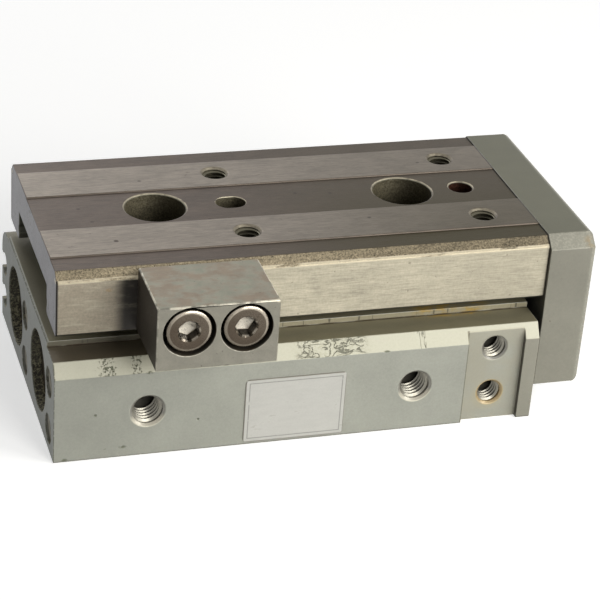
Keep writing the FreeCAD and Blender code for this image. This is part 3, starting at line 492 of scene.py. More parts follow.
    # a dark line down the near rear edge
    darkening = f.times(f.falls(f.x, -39.0, -38.75), f.falls(f.y, -20.35, -20.15))
    colour = f.layers(
        colour, (speck, look["speck"]), (chips, look["chip"]), (drop, look["drop"]),
        (f.patch(*tableMarks["nick"]), look["nick"]), (f.patch(*tableMarks["gouge"]), look["gouge"]),
        (dots, look["dot"]), (lip, look["worn"]), (foot, look["foot"]), (darkening, look["darkening"]))
    f.set("Base Color", colour)
    f.set("Metallic", f.vary(side, 0, 1, 0.8, 0.4))
    f.set("Roughness", f.plus(f.vary(along, 0.2, 0.8, 0.36, 0.5), f.times(chamfer, 0.08)))
    f.bump(f.plus(f.times(along, 0.5), f.times(fine, 0.5), f.times(chamfer, grit, 3.0)), 0.02)
    return f.material


def satinAnodised(name, look, marks):
    # satin grey anodising over aluminium: fine dull grain, faint clouds, specks, paler worn edges; the tops
    # take a darker colour as painted shade, and the end faces a colour of their own, which on the body
    # darkens the rear face as painted shade
    f = Finish(name, 0.2, 0.5)
    look = linear(look)
    cloud = f.noise(0.11, 4, 0.6)
    grain = f.noise(2.6, 4, 0.7)
    fine = f.noise(12, 2, 0.6)
    top = f.facing(f.nz, 1, 0.93, 0.99)
    end = f.facing(f.nx, 0, 0.9, 0.97)
    flat = f.most(top, end, f.facing(f.ny, 0, 0.93, 0.99), f.facing(f.nz, -1, 0.93, 0.99))
    slope = f.falls(flat, 0.1, 0.6)
    # painted shade: tops darker than the faces, and the body's rear face darker through its end colour
    colour = f.layers(
        look["face"], (top, look["ledge"]), (end, look["endFace"]),
        (f.times(slope, f.ramp(grain, 0.45, 0.6, 0.1, 0.5)), look["slope"]))
    tone = f.plus(f.vary(cloud, 0.3, 0.7, 0.92, 1.08), f.vary(grain, 0.25, 0.75, -0.08, 0.08),
                  f.vary(fine, 0.3, 0.7, -0.05, 0.05))
    speck = f.times(f.ramp(f.noise(0.9, 3, 0.55), 0.72, 0.755), 0.6)
    colour = f.mix(speck, f.shade(colour, tone), look["chip"])
    height = f.plus(f.times(grain, 0.5), f.times(fine, 0.3), f.times(speck, -1.5))
    rough = f.vary(grain, 0.2, 0.8, 0.42, 0.56)
    colour, height, rough = marks(f, look, colour, height, rough, slope, grain)
    f.set("Base Color", colour)
    f.set("Roughness", rough)
    f.bump(height, 0.02)
    return f.material


bodyLook = {
    "face": (153, 154, 144), "slope": (170, 168, 150), "ledge": (132, 126, 102), "wall": (158, 151, 126),
    "endFace": (128, 130, 124), "bare": (138, 136, 128), "chip": (96, 100, 78), "oil": (172, 140, 56),
    "darkening": (44, 40, 30), "grit": (128, 124, 98), "crumb": (176, 172, 144), "foot": (66, 56, 34),
    "ring": (90, 90, 84), "rimHighlight": (206, 199, 178), "scratch": (70, 70, 54), "rearwardShade": (108, 108, 100),
    "dullWall": (92, 90, 80), "dullLedge": (88, 74, 63), "gold": (184, 152, 84), "halo": (176, 160, 112),
    "pad": (158, 152, 132), "padEdge": (92, 86, 66), "strip": (118, 110, 92), "stripWallShade": (58, 52, 40),
    "baseShadowLine": (70, 66, 54), "front": (44, 40, 32), "rearEdge": (74, 72, 58), "rearTone": (96, 102, 88),
    "fleck": (92, 92, 78),
}
bodyMarks = {
    "ports": [(-25.15, 8.1), (19.1, 8.1)],
    "padHoles": [(32.7, 4.95), (32.7, 13.35)],
    "rearHoles": [(-19.9, 3.6), (-19.9, 12.1), (1.6, 3.6), (1.6, 12.1)],
    "bores": [-10.65, 10.65],
    "boreHeight": 8.9,
    "chipClusters": [(-32.7, -30.6, 0.9), (-27.6, -26.4, 0.6)],  # from, to and soft edge along the slope
    "scribble": (0, 9),
    "scratch": (19.2, 20.2, 0.3),
    "tick": ((19.9, -22.9, 16.9), (0.4, 0.9, 0.9)),
    "oil": (22, 31, 3),
    "spots": [((-29.1, -24.5, 1.85), (0.8, 0.6, 0.4)), ((-38.3, -24.5, 0.4), (0.7, 0.7, 0.4)),
              ((-25.0, -24.5, 15.0), (0.9, 0.6, 0.35)), ((-33.5, -24.5, 8.1), (0.35, 0.5, 0.35)),
              ((13.7, -24.5, 15.0), (0.7, 0.5, 0.25)), ((-17, -24.5, 5.7), (0.3, 0.4, 0.3))],
}


def markHoles(f, look, colour):
    # bare metal, darkened with depth as painted shade, a faint ring and a painted highlight on the lower rim
    # of each port
    bare, deep, pale, rings = [], [], [], []
    nearHalf = f.falls(f.y, -18, -17.5)
    for x, z in bodyMarks["ports"]:
        hole = f.column((x, 0, z), 1, 2.95, 3.0)
        rings.append(f.ring((x, 0, z), 1, (3.0, 3.4), (4.0, 4.3)))
        pale.append(f.times(f.ring((x, 0, z), 1, (2.4, 2.5), (2.95, 3.05)), f.falls(f.z, z - 1.6, z - 0.6)))
        bare.append(f.times(hole, f.inside(f.y, -24.4, -18)))
        deep.append(f.times(hole, f.ramp(f.y, -24, -20), nearHalf))
    for x, z in bodyMarks["padHoles"]:
        hole = f.column((x, 0, z), 1, 2.4, 2.45)
        bare.append(f.times(hole, f.inside(f.y, -23.4, -18)))
        deep.append(f.times(hole, f.ramp(f.y, -23, -20), nearHalf))
    for y, z in bodyMarks["rearHoles"]:
        hole = f.column((0, y, z), 0, 2.6, 2.7)
        bare.append(f.times(hole, f.ramp(f.x, -39.9, -39.7), f.ramp(f.x, -32, -31, 0.35, 0)))
        deep.append(f.times(hole, f.ramp(f.x, -39.85, -37), f.falls(f.x, -31.5, -31)))
    bare = f.most(*bare)
    ring = f.times(f.most(*rings), f.falls(f.y, -24.3, -24.2), 0.04)
    rimHighlight = f.times(f.most(*pale), f.falls(f.y, -24.0, -23.8), 0.5)
    # painted shade darkens the holes with depth, and a painted highlight brightens the ports' lower rims
    colour = f.layers(
        colour, (ring, look["ring"]), (bare, look["bare"]), (f.times(f.most(*deep), 0.8), look["darkening"]),
        (rimHighlight, look["rimHighlight"]))
    return colour, bare


def markBores(f, look, colour):
    # painted shade all round, speckled with pale grit; the grit gathers in the lower half and brightens it as
    # painted light
    seats = [f.column((0, y, bodyMarks["boreHeight"]), 0, 7.3, 7.4) for y in bodyMarks["bores"]]
    bore = f.times(f.most(*seats), f.falls(f.size(f.x), 39.7, 39.95))
    crumbs = f.times(f.ramp(f.noise(2.2, 4, 0.75), 0.42, 0.66), 0.75)
    # grit thicker in the lower half, brightening it as painted light
    gritAndLight = f.times(f.ramp(f.z, 9.5, 6.5, 0.3, 1), f.ramp(f.noise(1.1, 3, 0.6), 0.35, 0.6))
    dirt = f.layers(look["darkening"], (crumbs, look["grit"]), (f.times(crumbs, gritAndLight), look["crumb"]))
    return f.mix(bore, colour, dirt), bore


def markSlope(f, look, colour, longSlope):
    # chips by the rear, a scribble in the middle, one scratch and a tick by the front port
    blots = f.noise(2.7, 3, 0.7)
    clusters = f.most(*[f.inside(f.x, *place) for place in bodyMarks["chipClusters"]],
                      f.times(f.inside(f.x, -36, -24, 2), 0.35))
    chips = f.ramp(f.plus(blots, f.vary(clusters, 0, 1, -0.24, 0.0)), 0.52, 0.62)
    tangle = f.noise(0.6, 3, 0.55, f.stretched(0.6, 1.2, 1.2), 1.4)
    scribble = f.times(f.strokes(tangle, 0.012, 0.045), f.inside(f.x, *bodyMarks["scribble"], 2),
                       f.ramp(blots, 0.3, 0.5))
    smudge = f.times(f.ramp(blots, 0.42, 0.62), f.inside(f.x, *bodyMarks["scribble"], 3))
    upright = f.noise(0.9, 2, 0.6, f.stretched(1.2, 0.25, 0.25))
    scratch = f.times(f.strokes(upright, 0.01, 0.03), f.inside(f.x, *bodyMarks["scratch"]))
    tick = f.times(f.patch(*bodyMarks["tick"], 0.2), f.ramp(blots, 0.36, 0.48))
    marks = (chips, smudge, f.most(scribble, scratch, tick))
    chips, smudge, lines = (f.times(longSlope, mark) for mark in marks)
    colour = f.layers(
        colour, (f.times(smudge, 0.3), look["grit"]), (f.times(chips, 0.9), look["chip"]),
        (f.times(lines, 0.85), look["scratch"]))
    return colour, chips, lines


def markPlateau(f, look, colour, grain):
    # the raised strip's wall: ticked with short dark lines, duller by the rear, oily at its foot
    aside = f.size(f.y)
    wall = f.times(f.facing(f.ny, 0, 0.8, 0.95), f.inside(f.z, 17.35, 18.35), f.falls(aside, 19, 20))
    ticks = f.ramp(f.noise(1.3, 2, 0.5, f.stretched(1.6, 0.1, 0.1)), 0.62, 0.68)
    wallTone = f.plus(f.vary(grain, 0.25, 0.75, 0.88, 1.1), f.times(ticks, -0.6))
    dull = f.times(wall, f.ramp(f.x, -20, -28), f.ramp(f.y, -17, -18, 0, 0.75))
    film = f.noise(0.55, 4, 0.65, f.stretched(0.6, 1, 1.6))
    seam = f.times(f.inside(aside, 18.0, 18.3, 0.25), f.inside(f.z, 17.2, 17.45, 0.12),
                   f.ramp(film, 0.3, 0.55, 0.35, 0.95))
    oil = f.times(f.ramp(film, 0.4, 0.6), f.inside(f.z, 17.25, 18.4, 0.1), f.falls(aside, 18.6, 19.4),
                  f.inside(f.x, *bodyMarks["oil"]), 0.75)
    return f.layers(
        colour, (wall, f.shade(look["wall"], wallTone)), (dull, look["dullWall"]), (oil, look["oil"]),
        (seam, look["foot"]))


def markPad(f, look, colour, grain, wear):
    # the adjuster pad: a gilt lower hole, a warm floor, a dark left edge, a darker strip beside it with
    # painted shade on its wall, a painted contact shadow along the base and painted shade on the front face
    gold = f.times(f.column((32.7, 0, 4.95), 1, 2.4, 2.5), f.ramp(f.y, -23.52, -23.5),
                   f.falls(f.y, -22, -20))
    halo = f.times(f.column((32.5, 0, 4.6), 1, 2.3, 3.4), f.ramp(f.y, -23.6, -23.55),
                   f.falls(f.y, -23.5, -23.45))
    warm = f.times(f.inside(f.x, 27.9, 37.5), f.inside(f.y, -23.6, -23.4, 0.05),
                   f.ramp(f.noise(0.2, 3), 0.3, 0.6, 0.15, 0.5))
    padEdge = f.times(f.inside(f.x, 27.7, 27.95, 0.12), f.inside(f.y, -24.6, -23.4, 0.1),
                      f.ramp(grain, 0.3, 0.5, 0.4, 0.8))
    strip = f.times(f.ramp(f.x, 37.5, 37.7), f.falls(f.y, -23.3, -23.2), f.inside(f.z, 0, 15), 0.45)
    # painted shade on the recess wall that faces left
    stripWallShade = f.times(f.facing(f.nx, -1), f.inside(f.x, 37.4, 37.8), f.falls(f.y, -23.4, -23.3), 0.8)
    # painted contact shadow along the near bottom edge
    baseShadowLine = f.times(f.falls(f.y, -24.4, -24.3), f.falls(f.z, 0.15, 0.35),
                       f.ramp(wear, 0.35, 0.5, 0.3, 0.8))
    # painted shade on the front face towards the end plate
    front = f.times(f.facing(f.nx, 1), f.ramp(f.x, 39.7, 39.9), 0.75)
    return f.layers(
        colour, (f.times(gold, 0.55), look["gold"]), (f.times(halo, 0.22), look["halo"]),
        (warm, look["pad"]), (padEdge, look["padEdge"]), (strip, look["strip"]),
        (stripWallShade, look["stripWallShade"]), (baseShadowLine, look["baseShadowLine"]), (front, look["front"]))


def markRear(f, look, colour, slope, wear):
    # the rear face and its rim: worn edge, greenish clouds, flecks, and a duller ledge beside it
    rear = f.ramp(f.x, -39.8, -39.95)
    edge = f.times(slope, f.ramp(f.x, -39.7, -39.95), f.ramp(wear, 0.42, 0.5), 0.8)
    clouds = f.times(rear, f.ramp(f.noise(0.5, 4, 0.65), 0.3, 0.7), 0.3)
    flecks = f.times(rear, f.ramp(f.noise(1.6, 4, 0.7), 0.56, 0.64), 0.5)
    ledge = f.times(f.facing(f.nz, 1), f.inside(f.z, 17.3, 17.5), f.ramp(f.x, -20, -27),
                    f.ramp(f.y, -17, -18), 0.6)
    return f.layers(
        colour, (edge, look["rearEdge"]), (clouds, look["rearTone"]), (flecks, look["fleck"]),
        (ledge, look["dullLedge"]))


def markBody(f, look, colour, height, rough, slope, grain):
    # every mark of the body, in the order in which one lies over the other
    longSlope = f.times(slope, f.inside(f.z, 14.95, 17.45, 0.05), f.falls(f.y, -22.6, -22.4))
    slopeTone = f.vary(grain, 0.25, 0.75, 0.92, 1.06)
    colour = f.mix(longSlope, colour, f.shade(look["slope"], slopeTone))
    colour, bare = markHoles(f, look, colour)
    colour, bore = markBores(f, look, colour)
    colour, chips, scratches = markSlope(f, look, colour, longSlope)
    # painted shade: the near face darkens towards the rear, away from the light
    rearwardShade = f.times(f.facing(f.ny, -1), f.vary(f.x, -12, -38, 0, 0.16))
    colour = f.mix(rearwardShade, colour, look["rearwardShade"])
    colour = markPlateau(f, look, colour, grain)
    wear = f.noise(1.1, 4, 0.7)
    spots = f.times(f.most(*[f.patch(place, radii, 0.2) for place, radii in bodyMarks["spots"]]),
                    f.ramp(wear, 0.4, 0.5))
    colour = f.mix(f.times(spots, 0.85), colour, look["chip"])
    colour = markPad(f, look, colour, grain, wear)
    colour = markRear(f, look, colour, slope, wear)
    pits = f.most(chips, spots)
    height = f.plus(height, f.times(pits, -6), f.times(scratches, -2.5))
    rough = f.plus(rough, f.times(bare, -0.14), f.times(bore, 0.2), f.times(pits, 0.2))
    return colour, height, rough


plateLook = {
    "face": (130, 128, 116), "slope": (156, 154, 140), "ledge": (104, 103, 86), "endFace": (134, 134, 124),
    "bare": (176, 176, 166), "chip": (92, 84, 62), "darkening": (44, 40, 30), "smear": (140, 118, 78),
    "upper": (92, 90, 82),
}
plateMarks = {
    "holes": [(-10, 17.6), (-10, 25.6), (10, 17.6), (10, 25.6)],
    "smear": ((48.6, -20.6, 30.3), (1.6, 1.6, 2.2), 0.2),
}


def markPlate(f, look, colour, height, rough, slope, grain):
    # a brown smear at the near corner, bare tapped holes, painted shadow on the face towards the body
    smear = f.times(f.patch(*plateMarks["smear"]), f.ramp(f.noise(0.9, 3), 0.38, 0.6), 0.5)
    holes = [f.column((0, y, z), 0, 2.3, 2.35) for y, z in plateMarks["holes"]]
    bare = f.times(f.most(*holes), f.falls(f.x, 49.6, 49.75))
    # painted shadow on the face towards the body
    back = f.times(f.facing(f.nx, -1), f.falls(f.x, 41.6, 41.7), 0.75)
    upper = f.times(f.facing(f.ny, -1), f.ramp(f.z, 16, 25), 0.24)
    colour = f.layers(
        colour, (smear, look["smear"]), (bare, look["bare"]), (back, look["darkening"]), (upper, look["upper"]))
    return colour, height, f.plus(rough, f.times(bare, -0.15))


def plainMetal(name, colour, metal, rough, streak, grainSize, dirt, dirtColour=(40, 34, 26)):
    # turned, ground or plated metal: streaks or rings by the stretch, dirt in patches
    f = Finish(name, metal, rough)
    grain = f.noise(grainSize, 4, 0.6, f.stretched(*streak))
    cloud = f.noise(0.6, 3, 0.6)
    tone = f.plus(f.vary(grain, 0.25, 0.75, 0.9, 1.08), f.vary(cloud, 0.3, 0.7, -0.06, 0.06))
    made = f.mix(f.times(f.ramp(cloud, 0.55, 0.7), dirt), f.shade(srgb(*colour), tone), srgb(*dirtColour))
    f.set("Base Color", made)
    f.set("Roughness", f.plus(f.vary(grain, 0.2, 0.8, rough - 0.07, rough + 0.09),
                              f.times(cloud, dirt * 0.1)))
    f.bump(grain, 0.01, 0.8)
    return f.material


blockLook = {
    "face": (130, 127, 116), "top": (152, 146, 128), "rust": (134, 114, 94), "green": (128, 136, 118),
    "side": (104, 98, 88), "shaded": (54, 49, 42), "edge": (206, 200, 182), "corner": (222, 214, 190),
    "foot": (50, 44, 36), "pits": (70, 66, 54), "pit": (40, 38, 30), "sink": (44, 37, 29),
}


def blockSteel():
    # the stopper block: dull grey, mottled, with bright worn edges, a painted highlight on one top corner,
    # and painted shade on its left face, towards its foot and in the counterbores
    f = Finish("blockSteel", 0.55, 0.46)
    look = linear(blockLook)
    mottle = f.noise(0.45, 4, 0.6)
    grain = f.noise(4.5, 4, 0.65)
    wear = f.noise(0.9, 3, 0.6, f.stretched(0.5, 0.5, 0.5))
    tint = f.noise(0.3, 4, 0.65, f.stretched(0.7, 1, 1))
    side = f.facing(f.nx, 0, 0.9, 0.97)
    flat = f.most(f.facing(f.ny, 0, 0.95, 0.99), f.facing(f.nz, 0, 0.95, 0.99), side)
    edge = f.times(f.falls(flat, 0.1, 0.6), f.ramp(wear, 0.4, 0.56), f.ramp(f.z, 31.0, 31.3, 0.3, 1))
    top = f.facing(f.nz, 1)
    shaded = f.times(f.facing(f.nx, -1, 0.9, 0.97), f.ramp(f.x, -26, -26.3), 0.92)
    # painted highlight on the top right front corner
    corner = f.times(f.patch((-7.55, -33.85, 31.46), (1.1, 0.7, 0.6), 0.3), f.ramp(wear, 0.3, 0.5))
    colour = f.layers(
        look["face"], (f.times(top, 0.6), look["top"]),
        (f.times(top, f.ramp(tint, 0.45, 0.6), 0.6), look["rust"]),
        (f.times(top, f.ramp(tint, 0.5, 0.35), 0.5), look["green"]),
        (side, look["side"]), (shaded, look["shaded"]), (edge, look["edge"]), (corner, look["corner"]))
    tone = f.plus(f.vary(mottle, 0.3, 0.7, 0.9, 1.1), f.vary(grain, 0.25, 0.75, -0.1, 0.1))
    pits = f.times(f.ramp(f.noise(1.4, 3, 0.5), 0.7, 0.74), 0.6)
    pit = f.times(f.patch((-15.5, -33.85, 20.7), (0.7, 0.7, 0.4), 0.2), 0.9)
    # painted shade: the side faces darken towards the table
    foot = f.times(side, f.ramp(f.y, -24, -21), 0.6)
    sinks = [f.column((x, 0, screwPlace["height"]), 1, 4.12, 4.2) for x in screwPlace["across"]]
    # painted shade in the counterbores round the heads
    sink = f.times(f.most(*sinks), f.ramp(f.y, -33.75, -33.3, 0.4, 1), f.falls(f.y, -28, -27.5),
                   f.ramp(f.y, -33.82, -33.8), 0.85)
    colour = f.layers(
        f.shade(colour, tone), (foot, look["foot"]), (pits, look["pits"]), (pit, look["pit"]),
        (sink, look["sink"]))
    f.set("Base Color", colour)
    f.set("Metallic", f.vary(shaded, 0, 0.92, 0.55, 0.05))
    f.set("Specular IOR Level", f.vary(shaded, 0, 1, 0.5, 0.12))
    f.set("Roughness", f.vary(grain, 0.2, 0.8, 0.38, 0.54))
    f.bump(f.plus(f.times(grain, 0.5), f.times(pits, -2)), 0.016)
    return f.material


screwLook = {"head": (176, 167, 152), "greasy": (70, 56, 40), "deep": (28, 22, 18), "shoulderShade": (92, 84, 74),
             "flat": (72, 62, 52), "keyFloorHighlight": (226, 218, 202)}


def screwSteel():
    # nickel-grey socket screws with greasy rings, painted shade in the key, round the side and on the
    # shoulder, and a painted highlight on the key's floor
    f = Finish("screwSteel", 0.95, 0.3)
    look = linear(screwLook)
    grain = f.noise(6, 3, 0.6)
    rings = f.noise(1.2, 3, 0.6)
    tone = f.plus(f.vary(grain, 0.25, 0.75, 0.88, 1.08), f.vary(rings, 0.3, 0.7, -0.12, 0.12))
    colour = f.mix(f.times(f.ramp(rings, 0.52, 0.66), 0.35), f.shade(look["head"], tone), look["greasy"])
    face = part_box("stopper_block")[0].y / mm + screwPlace["sunk"]

    def disc(x, inner, outer):
        return f.column((x, 0, screwPlace["height"]), 1, inner, outer)

    keyFloorHighlight, flat, shoulderShade = 0.0, 0.0, 0.0
    for x in screwPlace["across"]:
        # painted shade on the key's walls and round the head's side
        key = f.times(disc(x, 1.72, 1.8), f.inside(f.y, face + 0.35, face + 2.1, 0.15))
        rim = f.times(f.falls(disc(x, 3.3, 3.4), 0, 1), f.ramp(f.y, face + 0.3, face + 0.7))
        colour = f.mix(f.times(f.most(key, rim), f.ramp(f.y, -20, -19, 0.8, 0)), colour, look["deep"])
        # painted highlight on the key's floor
        onFloor = f.times(disc(x, 1.72, 1.8), f.inside(f.y, face + 2.12, face + 2.6, 0.04))
        onFlat = f.times(disc(x, 2.95, 3.1), f.falls(f.y, face + 0.03, face + 0.05))
        # painted shade on the shoulder, fading out towards its lit upper right
        slant = f.ramp(f.plus(f.z, f.times(f.x, 0.6)), 26 + x * 0.6, 29 + x * 0.6, 0.75, 0.15)
        onShoulder = f.times(disc(x, 3.6, 3.7), f.ramp(f.y, face + 0.3, face + 0.2), slant)
        keyFloorHighlight = f.most(keyFloorHighlight, onFloor)
        flat = f.most(flat, onFlat)
        shoulderShade = f.most(shoulderShade, onShoulder)
    colour = f.layers(
        colour, (shoulderShade, look["shoulderShade"]),
        (f.times(flat, f.ramp(grain, 0.3, 0.7, 0.75, 0.92)), look["flat"]), (keyFloorHighlight, look["keyFloorHighlight"]))
    f.set("Base Color", colour)
    f.set("Metallic", f.vary(keyFloorHighlight, 0, 1, 0.95, 0.3))
    f.set("Roughness", f.vary(grain, 0.2, 0.8, 0.22, 0.36))
    f.bump(grain, 0.008)
    return f.material


def moulded(name, colour, rough, grainSize, bumpHeight):
    # rubber and moulded plastic: fine even texture with a dusty bloom
    f = Finish(name, 0.0, rough)
    grain = f.noise(grainSize, 4, 0.6)
    dust = f.ramp(f.noise(0.9, 3, 0.6), 0.5, 0.75)
    base = f.shade(srgb(*colour), f.vary(grain, 0.25, 0.75, 0.85, 1.15))
    f.set("Base Color", f.mix(f.times(dust, 0.25), base, srgb(128, 122, 108)))
    f.set("Roughness", f.vary(grain, 0.2, 0.8, rough - 0.08, rough + 0.1))
    f.bump(grain, bumpHeight)
    return f.material


labelBox = {"left": -9.45, "right": 7.25, "low": 0.55, "high": 12.05, "back": -24.5, "thick": 0.13,
            "corner": 0.7}
labelLook = {"foil": (186, 185, 179), "frame": (96, 96, 92), "rim": (92, 84, 70), "rubbed": (140, 136, 124)}


def labelFoil():
    # pale satin foil: a thin ruled frame, faint rub marks, a grimy outer edge
    f = Finish("labelFoil", 0.15, 0.42)
    look = linear(labelLook)
    edge = f.least(f.minus(f.x, labelBox["left"]), f.minus(labelBox["right"], f.x),
                   f.minus(f.z, labelBox["low"]), f.minus(labelBox["high"], f.z))
    grain = f.noise(3.5, 4, 0.6)
    rub = f.noise(0.8, 4, 0.6, f.stretched(0.4, 1, 1.5))
    tone = f.plus(f.vary(grain, 0.3, 0.7, 0.97, 1.03), f.vary(rub, 0.3, 0.7, -0.04, 0.04))
    frameLine = f.times(f.inside(edge, 0.62, 0.74, 0.05), f.ramp(rub, 0.3, 0.42))
    colour = f.layers(
        f.shade(look["foil"], tone), (f.times(frameLine, 0.55), look["frame"]),
        (f.ramp(edge, 0.05, 0.2, 0.75, 0), look["rim"]),
        (f.times(f.ramp(rub, 0.66, 0.7), 0.3), look["rubbed"]))
    f.set("Base Color", colour)
    f.set("Roughness", f.vary(rub, 0.3, 0.7, 0.36, 0.5))
    f.bump(f.plus(f.times(rub, 1.0), f.times(grain, 0.2)), 0.02)
    return f.material


finishes = {
    "table_steel": groundSteel(),
    "body_anodised": satinAnodised("bodyAnodising", bodyLook, markBody),
    "end_plate_anodised": satinAnodised("plateAnodising", plateLook, markPlate),
    "stopper_steel": blockSteel(),
    "guide_steel": plainMetal("railSteel", (150, 146, 136), 0.9, 0.34, (0.3, 5, 5), 1.6, 0.25),
    "screw_steel": screwSteel(),
    "guide_plastic": moulded("turnPlastic", (52, 62, 50), 0.48, 5, 0.012),
    "rubber": moulded("blackRubber", (34, 33, 31), 0.62, 8, 0.015),
    "ball_steel": plainMetal("ballSteel", (196, 196, 192), 1.0, 0.16, (1, 1, 1), 2.0, 0.15),
    "ring_steel": plainMetal("ringSteel", (86, 80, 70), 0.85, 0.42, (1, 1, 1), 3.5, 0.45, (96, 66, 36)),
    "magnet": plainMetal("magnetGrey", (70, 68, 66), 0.3, 0.55, (1, 1, 1), 4.0, 0.2),
    "fitting_aluminium": plainMetal("capAluminium", (150, 148, 134), 0.55, 0.46, (6, 0.6, 0.6), 2.0, 0.7,
                                    (56, 50, 36)),
    "rod_chrome": plainMetal("rodChrome", (200, 200, 198), 1.0, 0.14, (0.6, 4, 4), 2.5, 0.1),
    "bush_steel": plainMetal("bushSteel", (120, 118, 112), 0.9, 0.36, (4, 1, 1), 2.5, 0.3),
    "label_foil": labelFoil(),
}
for name, node in nodes.items():
    slotName = node.data.materials[0].name.split(".")[0]
    node.data.materials[0] = finishes[slotName]
threadFinish = {
    "body": plainMetal("threadMetal", (132, 129, 119), 0.9, 0.34, (1, 1, 1), 3.0, 0.4, (64, 56, 40)),
    "table": plainMetal("tableThreadMetal", (98, 94, 80), 0.9, 0.36, (1, 1, 1), 3.0, 0.35, (70, 60, 40)),
}
threadFinish["end_plate"] = threadFinish["body"]
print("finishes made:", len(finishes) + 2)


# pieces
# radii, pitch and depths of each kind of thread
portThread = {"drill": 2.1, "outer": 2.5, "rim": 2.9, "pitch": 0.8, "start": 0.55, "end": 4.9, "deep": 5.0,
              "stepsPerTurn": 36}
edgeThread = {**portThread, "rim": 2.1, "start": 0.3, "end": 7.8, "deep": 8.0, "stepsPerTurn": 30}
tapThread = {"drill": 1.65, "outer": 2.0, "rim": 2.33, "pitch": 0.7, "start": 0.5, "end": 5.6, "deep": 6.0,
             "stepsPerTurn": 30}
padThread = {**tapThread, "end": 3.9, "deep": 4.0, "stepsPerTurn": 32}
plateThread = {**tapThread, "rim": 1.65, "start": 0.3, "end": 5.8}
tapped = {
    "body": [((x, -24.5, z), (0, -1, 0), portThread) for x, z in bodyMarks["ports"]]
            + [((x, -23.5, z), (0, -1, 0), padThread) for x, z in bodyMarks["padHoles"]]
            + [((-40, y, z), (-1, 0, 0), edgeThread) for y, z in bodyMarks["rearHoles"]],
    "table": [((x, y, 31.36), (0, 0, 1), tapThread) for x in (-6.65, 33.35) for y in (-10.75, 10.75)],
    "end_plate": [((49.8, y, z), (1, 0, 0), plateThread) for y, z in plateMarks["holes"]],
}
# body, slot and width of the broken edges of each copied piece
dressed = {
    "body": ("base", "body_anodised", 0.1), "guide_block": ("base", "guide_steel", 0.1),
    "table": ("table", "table_steel", 0.12), "end_plate": ("table", "end_plate_anodised", 0.12),
    "stopper_block": ("table", "stopper_steel", 0.1),
}
baseEdge = {"half": 24.5, "round": 0.8, "tight": 0.25}
for source, (body, slotName, width) in dressed.items():
    mesh = mergedCopy(source)
    if source == "body":
        tightenBase(mesh, baseEdge)
    for hole in tapped.get(source, ()):
        openHole(mesh, *hole)
    breakEdges(mesh, width)
    addPiece(source + "Dressed", mesh, body, finishes[slotName], (source,))
print("edges broken on", len(dressed), "pieces")

for source, holes in tapped.items():
    body, slotName, width = dressed[source]
    mesh = shellMesh([threadShell(*hole) for hole in holes], 50)
    addPiece(source + "Threads", mesh, body, threadFinish[source])
print("threads cut:", sum(len(holes) for holes in tapped.values()))

stopperScrew = {"radius": 3.6, "height": 4.0, "key": 3.0, "keyDepth": 2.2, "shank": 1.95, "length": 11.5,
                "columns": 144, "knurls": 36, "knurlDepth": 0.12, "turns": (0.42, 0.05)}
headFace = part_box("stopper_block")[0].y / mm + screwPlace["sunk"]
stopperScrews = [socketScrewShell((x, headFace, screwPlace["height"]), (0, -1, 0), stopperScrew, turn)
                 for x, turn in zip(screwPlace["across"], stopperScrew["turns"])]
addPiece("stopperScrewHeads", shellMesh(stopperScrews), "table", finishes["screw_steel"],
         ("stopper_screws",))
print("screws turned:", len(stopperScrews))


def labelShell(box):
    # a rounded rectangle's outline, shrunk to its middle row by row, with slow waves in the front
    straight, arc = 24, 10
    halfX, halfZ = (box["right"] - box["left"]) / 2, (box["high"] - box["low"]) / 2
    middleX, middleZ, r = box["left"] + halfX, box["low"] + halfZ, box["corner"]
    turn = np.linspace(0, math.pi / 2, arc)
    arcs = []
    for k, (sx, sz) in enumerate([(1, 1), (-1, 1), (-1, -1), (1, -1)]):
        x = sx * (halfX - r) + r * np.cos(turn + k * math.pi / 2)
        z = sz * (halfZ - r) + r * np.sin(turn + k * math.pi / 2)
        arcs.append(np.stack([x, z], -1))
    outline = np.concatenate(arcs)
    closed = np.concatenate([outline, outline[:1]])
    steps = np.linspace(0, 1, straight, endpoint=False)[None, :, None]
    outline = (closed[:-1, None] * (1 - steps) + closed[1:, None] * steps).reshape(-1, 2)
    shrink = np.array([1, 1, 0.997, 0.99, *np.linspace(0.96, 0.04, 24)])
    lift = np.array([0, 0.6, 0.9, 1, *np.ones(24)]) * box["thick"]
    x = middleX + outline[None, :, 0] * shrink[:, None]
    z = middleZ + outline[None, :, 1] * shrink[:, None]
    wave = 0.008 * np.sin(x * 1.3 + z * 0.7) + 0.006 * np.sin(z * 1.9 - x * 0.6)
    y = box["back"] - lift[:, None] + np.where(lift[:, None] > 0, wave, 0)
    return gridShell(np.stack([x, y, z], -1))


addPiece("blankLabel", shellMesh([labelShell(labelBox)]), "base", finishes["label_foil"],
         ("name_label",))
print("label laid")


# light, floor and camera
lampLook = {
    "main": {"place": (172, -529, 240), "aim": 15, "size": 0.24, "watts": 2.0, "tint": (1, 0.99, 0.96)},
    "side": {"place": (445, -312, 269), "aim": 15, "size": 0.3, "watts": 2.1, "tint": (1, 0.99, 0.96)},
    "back": {"place": (-110, 510, 315), "aim": 20, "size": 0.3, "watts": 0.6, "tint": (0.97, 0.98, 1)},
}
for name, lamp in lampLook.items():
    light = bpy.data.lights.new(name, "AREA")
    light.size = lamp["size"]
    light.energy = lamp["watts"]
    light.color = lamp["tint"]
    holder = bpy.data.objects.new(name, light)
    scene.collection.objects.link(holder)
    holder.location = Vector(lamp["place"]) * mm
    away = holder.location - Vector((0, 0, lamp["aim"])) * mm
    holder.rotation_euler = away.to_track_quat("Z", "Y").to_euler()

worldLook = {"fill": 0.12, "shown": 1.0}
world = bpy.data.worlds.new("studio")
scene.world = world
world.use_nodes = True
background = world.node_tree.nodes["Background"]


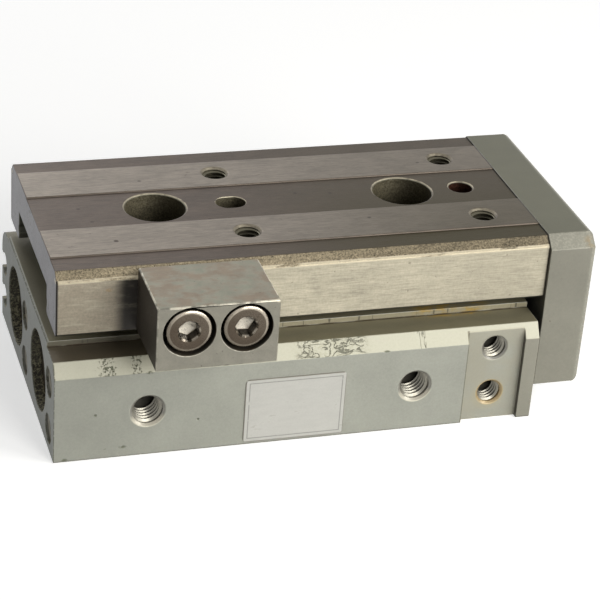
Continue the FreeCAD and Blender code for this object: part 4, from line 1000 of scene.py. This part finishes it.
def seenRays(tree):
    # 1 for camera, mirror and glass rays, 0 for the rays that light the object
    path = tree.nodes.new("ShaderNodeLightPath")
    total = path.outputs["Is Camera Ray"]
    for name in ("Is Glossy Ray", "Is Transmission Ray"):
        add = tree.nodes.new("ShaderNodeMath")
        add.operation, add.use_clamp = "ADD", True
        tree.links.new(total, add.inputs[0])
        tree.links.new(path.outputs[name], add.inputs[1])
        total = add.outputs[0]
    return total


level = world.node_tree.nodes.new("ShaderNodeMapRange")
world.node_tree.links.new(seenRays(world.node_tree), level.inputs["Value"])
level.inputs["To Min"].default_value = worldLook["fill"]
level.inputs["To Max"].default_value = worldLook["shown"]
world.node_tree.links.new(level.outputs[0], background.inputs["Strength"])
background.inputs["Color"].default_value = (1, 1, 1, 1)

floorLook = {"half": 4000, "colour": (0.8, 0.8, 0.79), "glow": 0.55}
floorMesh = bpy.data.meshes.new("paleFloor")
half = floorLook["half"] * mm
corners = [(-half, -half, 0), (half, -half, 0), (half, half, 0), (-half, half, 0)]
floorMesh.from_pydata(corners, [], [(0, 1, 2, 3)])
floor = bpy.data.objects.new("paleFloor", floorMesh)
scene.collection.objects.link(floor)
paint = Finish("floorPaint", 0, 0.9)
paint.set("Base Color", floorLook["colour"])
paint.set("Specular IOR Level", 0.1)
paint.set("Emission Color", (1, 1, 1))
paint.set("Emission Strength", paint.vary(seenRays(paint.tree), 0, 1, 0, floorLook["glow"]))
floorMesh.materials.append(paint.material)

cameraLook = {"lens": 126.78, "place": (-92.42, -297.95, 182.54), "right": (0.957803, -0.279348, 0.067663),
              "up": (0.077084, 0.476436, 0.875823), "back": (-0.276897, -0.833650, 0.477865)}
camera = bpy.data.objects.new("photoCamera", bpy.data.cameras.new("photoCamera"))
scene.collection.objects.link(camera)
camera.data.lens = cameraLook["lens"]
camera.data.sensor_width = 36
camera.data.clip_start = 0.01
camera.data.clip_end = 20
turned = Matrix([cameraLook["right"], cameraLook["up"], cameraLook["back"]]).transposed().to_4x4()
camera.matrix_world = Matrix.Translation(Vector(cameraLook["place"]) * mm) @ turned
scene.camera = camera
scene.view_settings.view_transform = "Standard"
print("lamps, floor and camera placed")

bpy.context.view_layer.update()
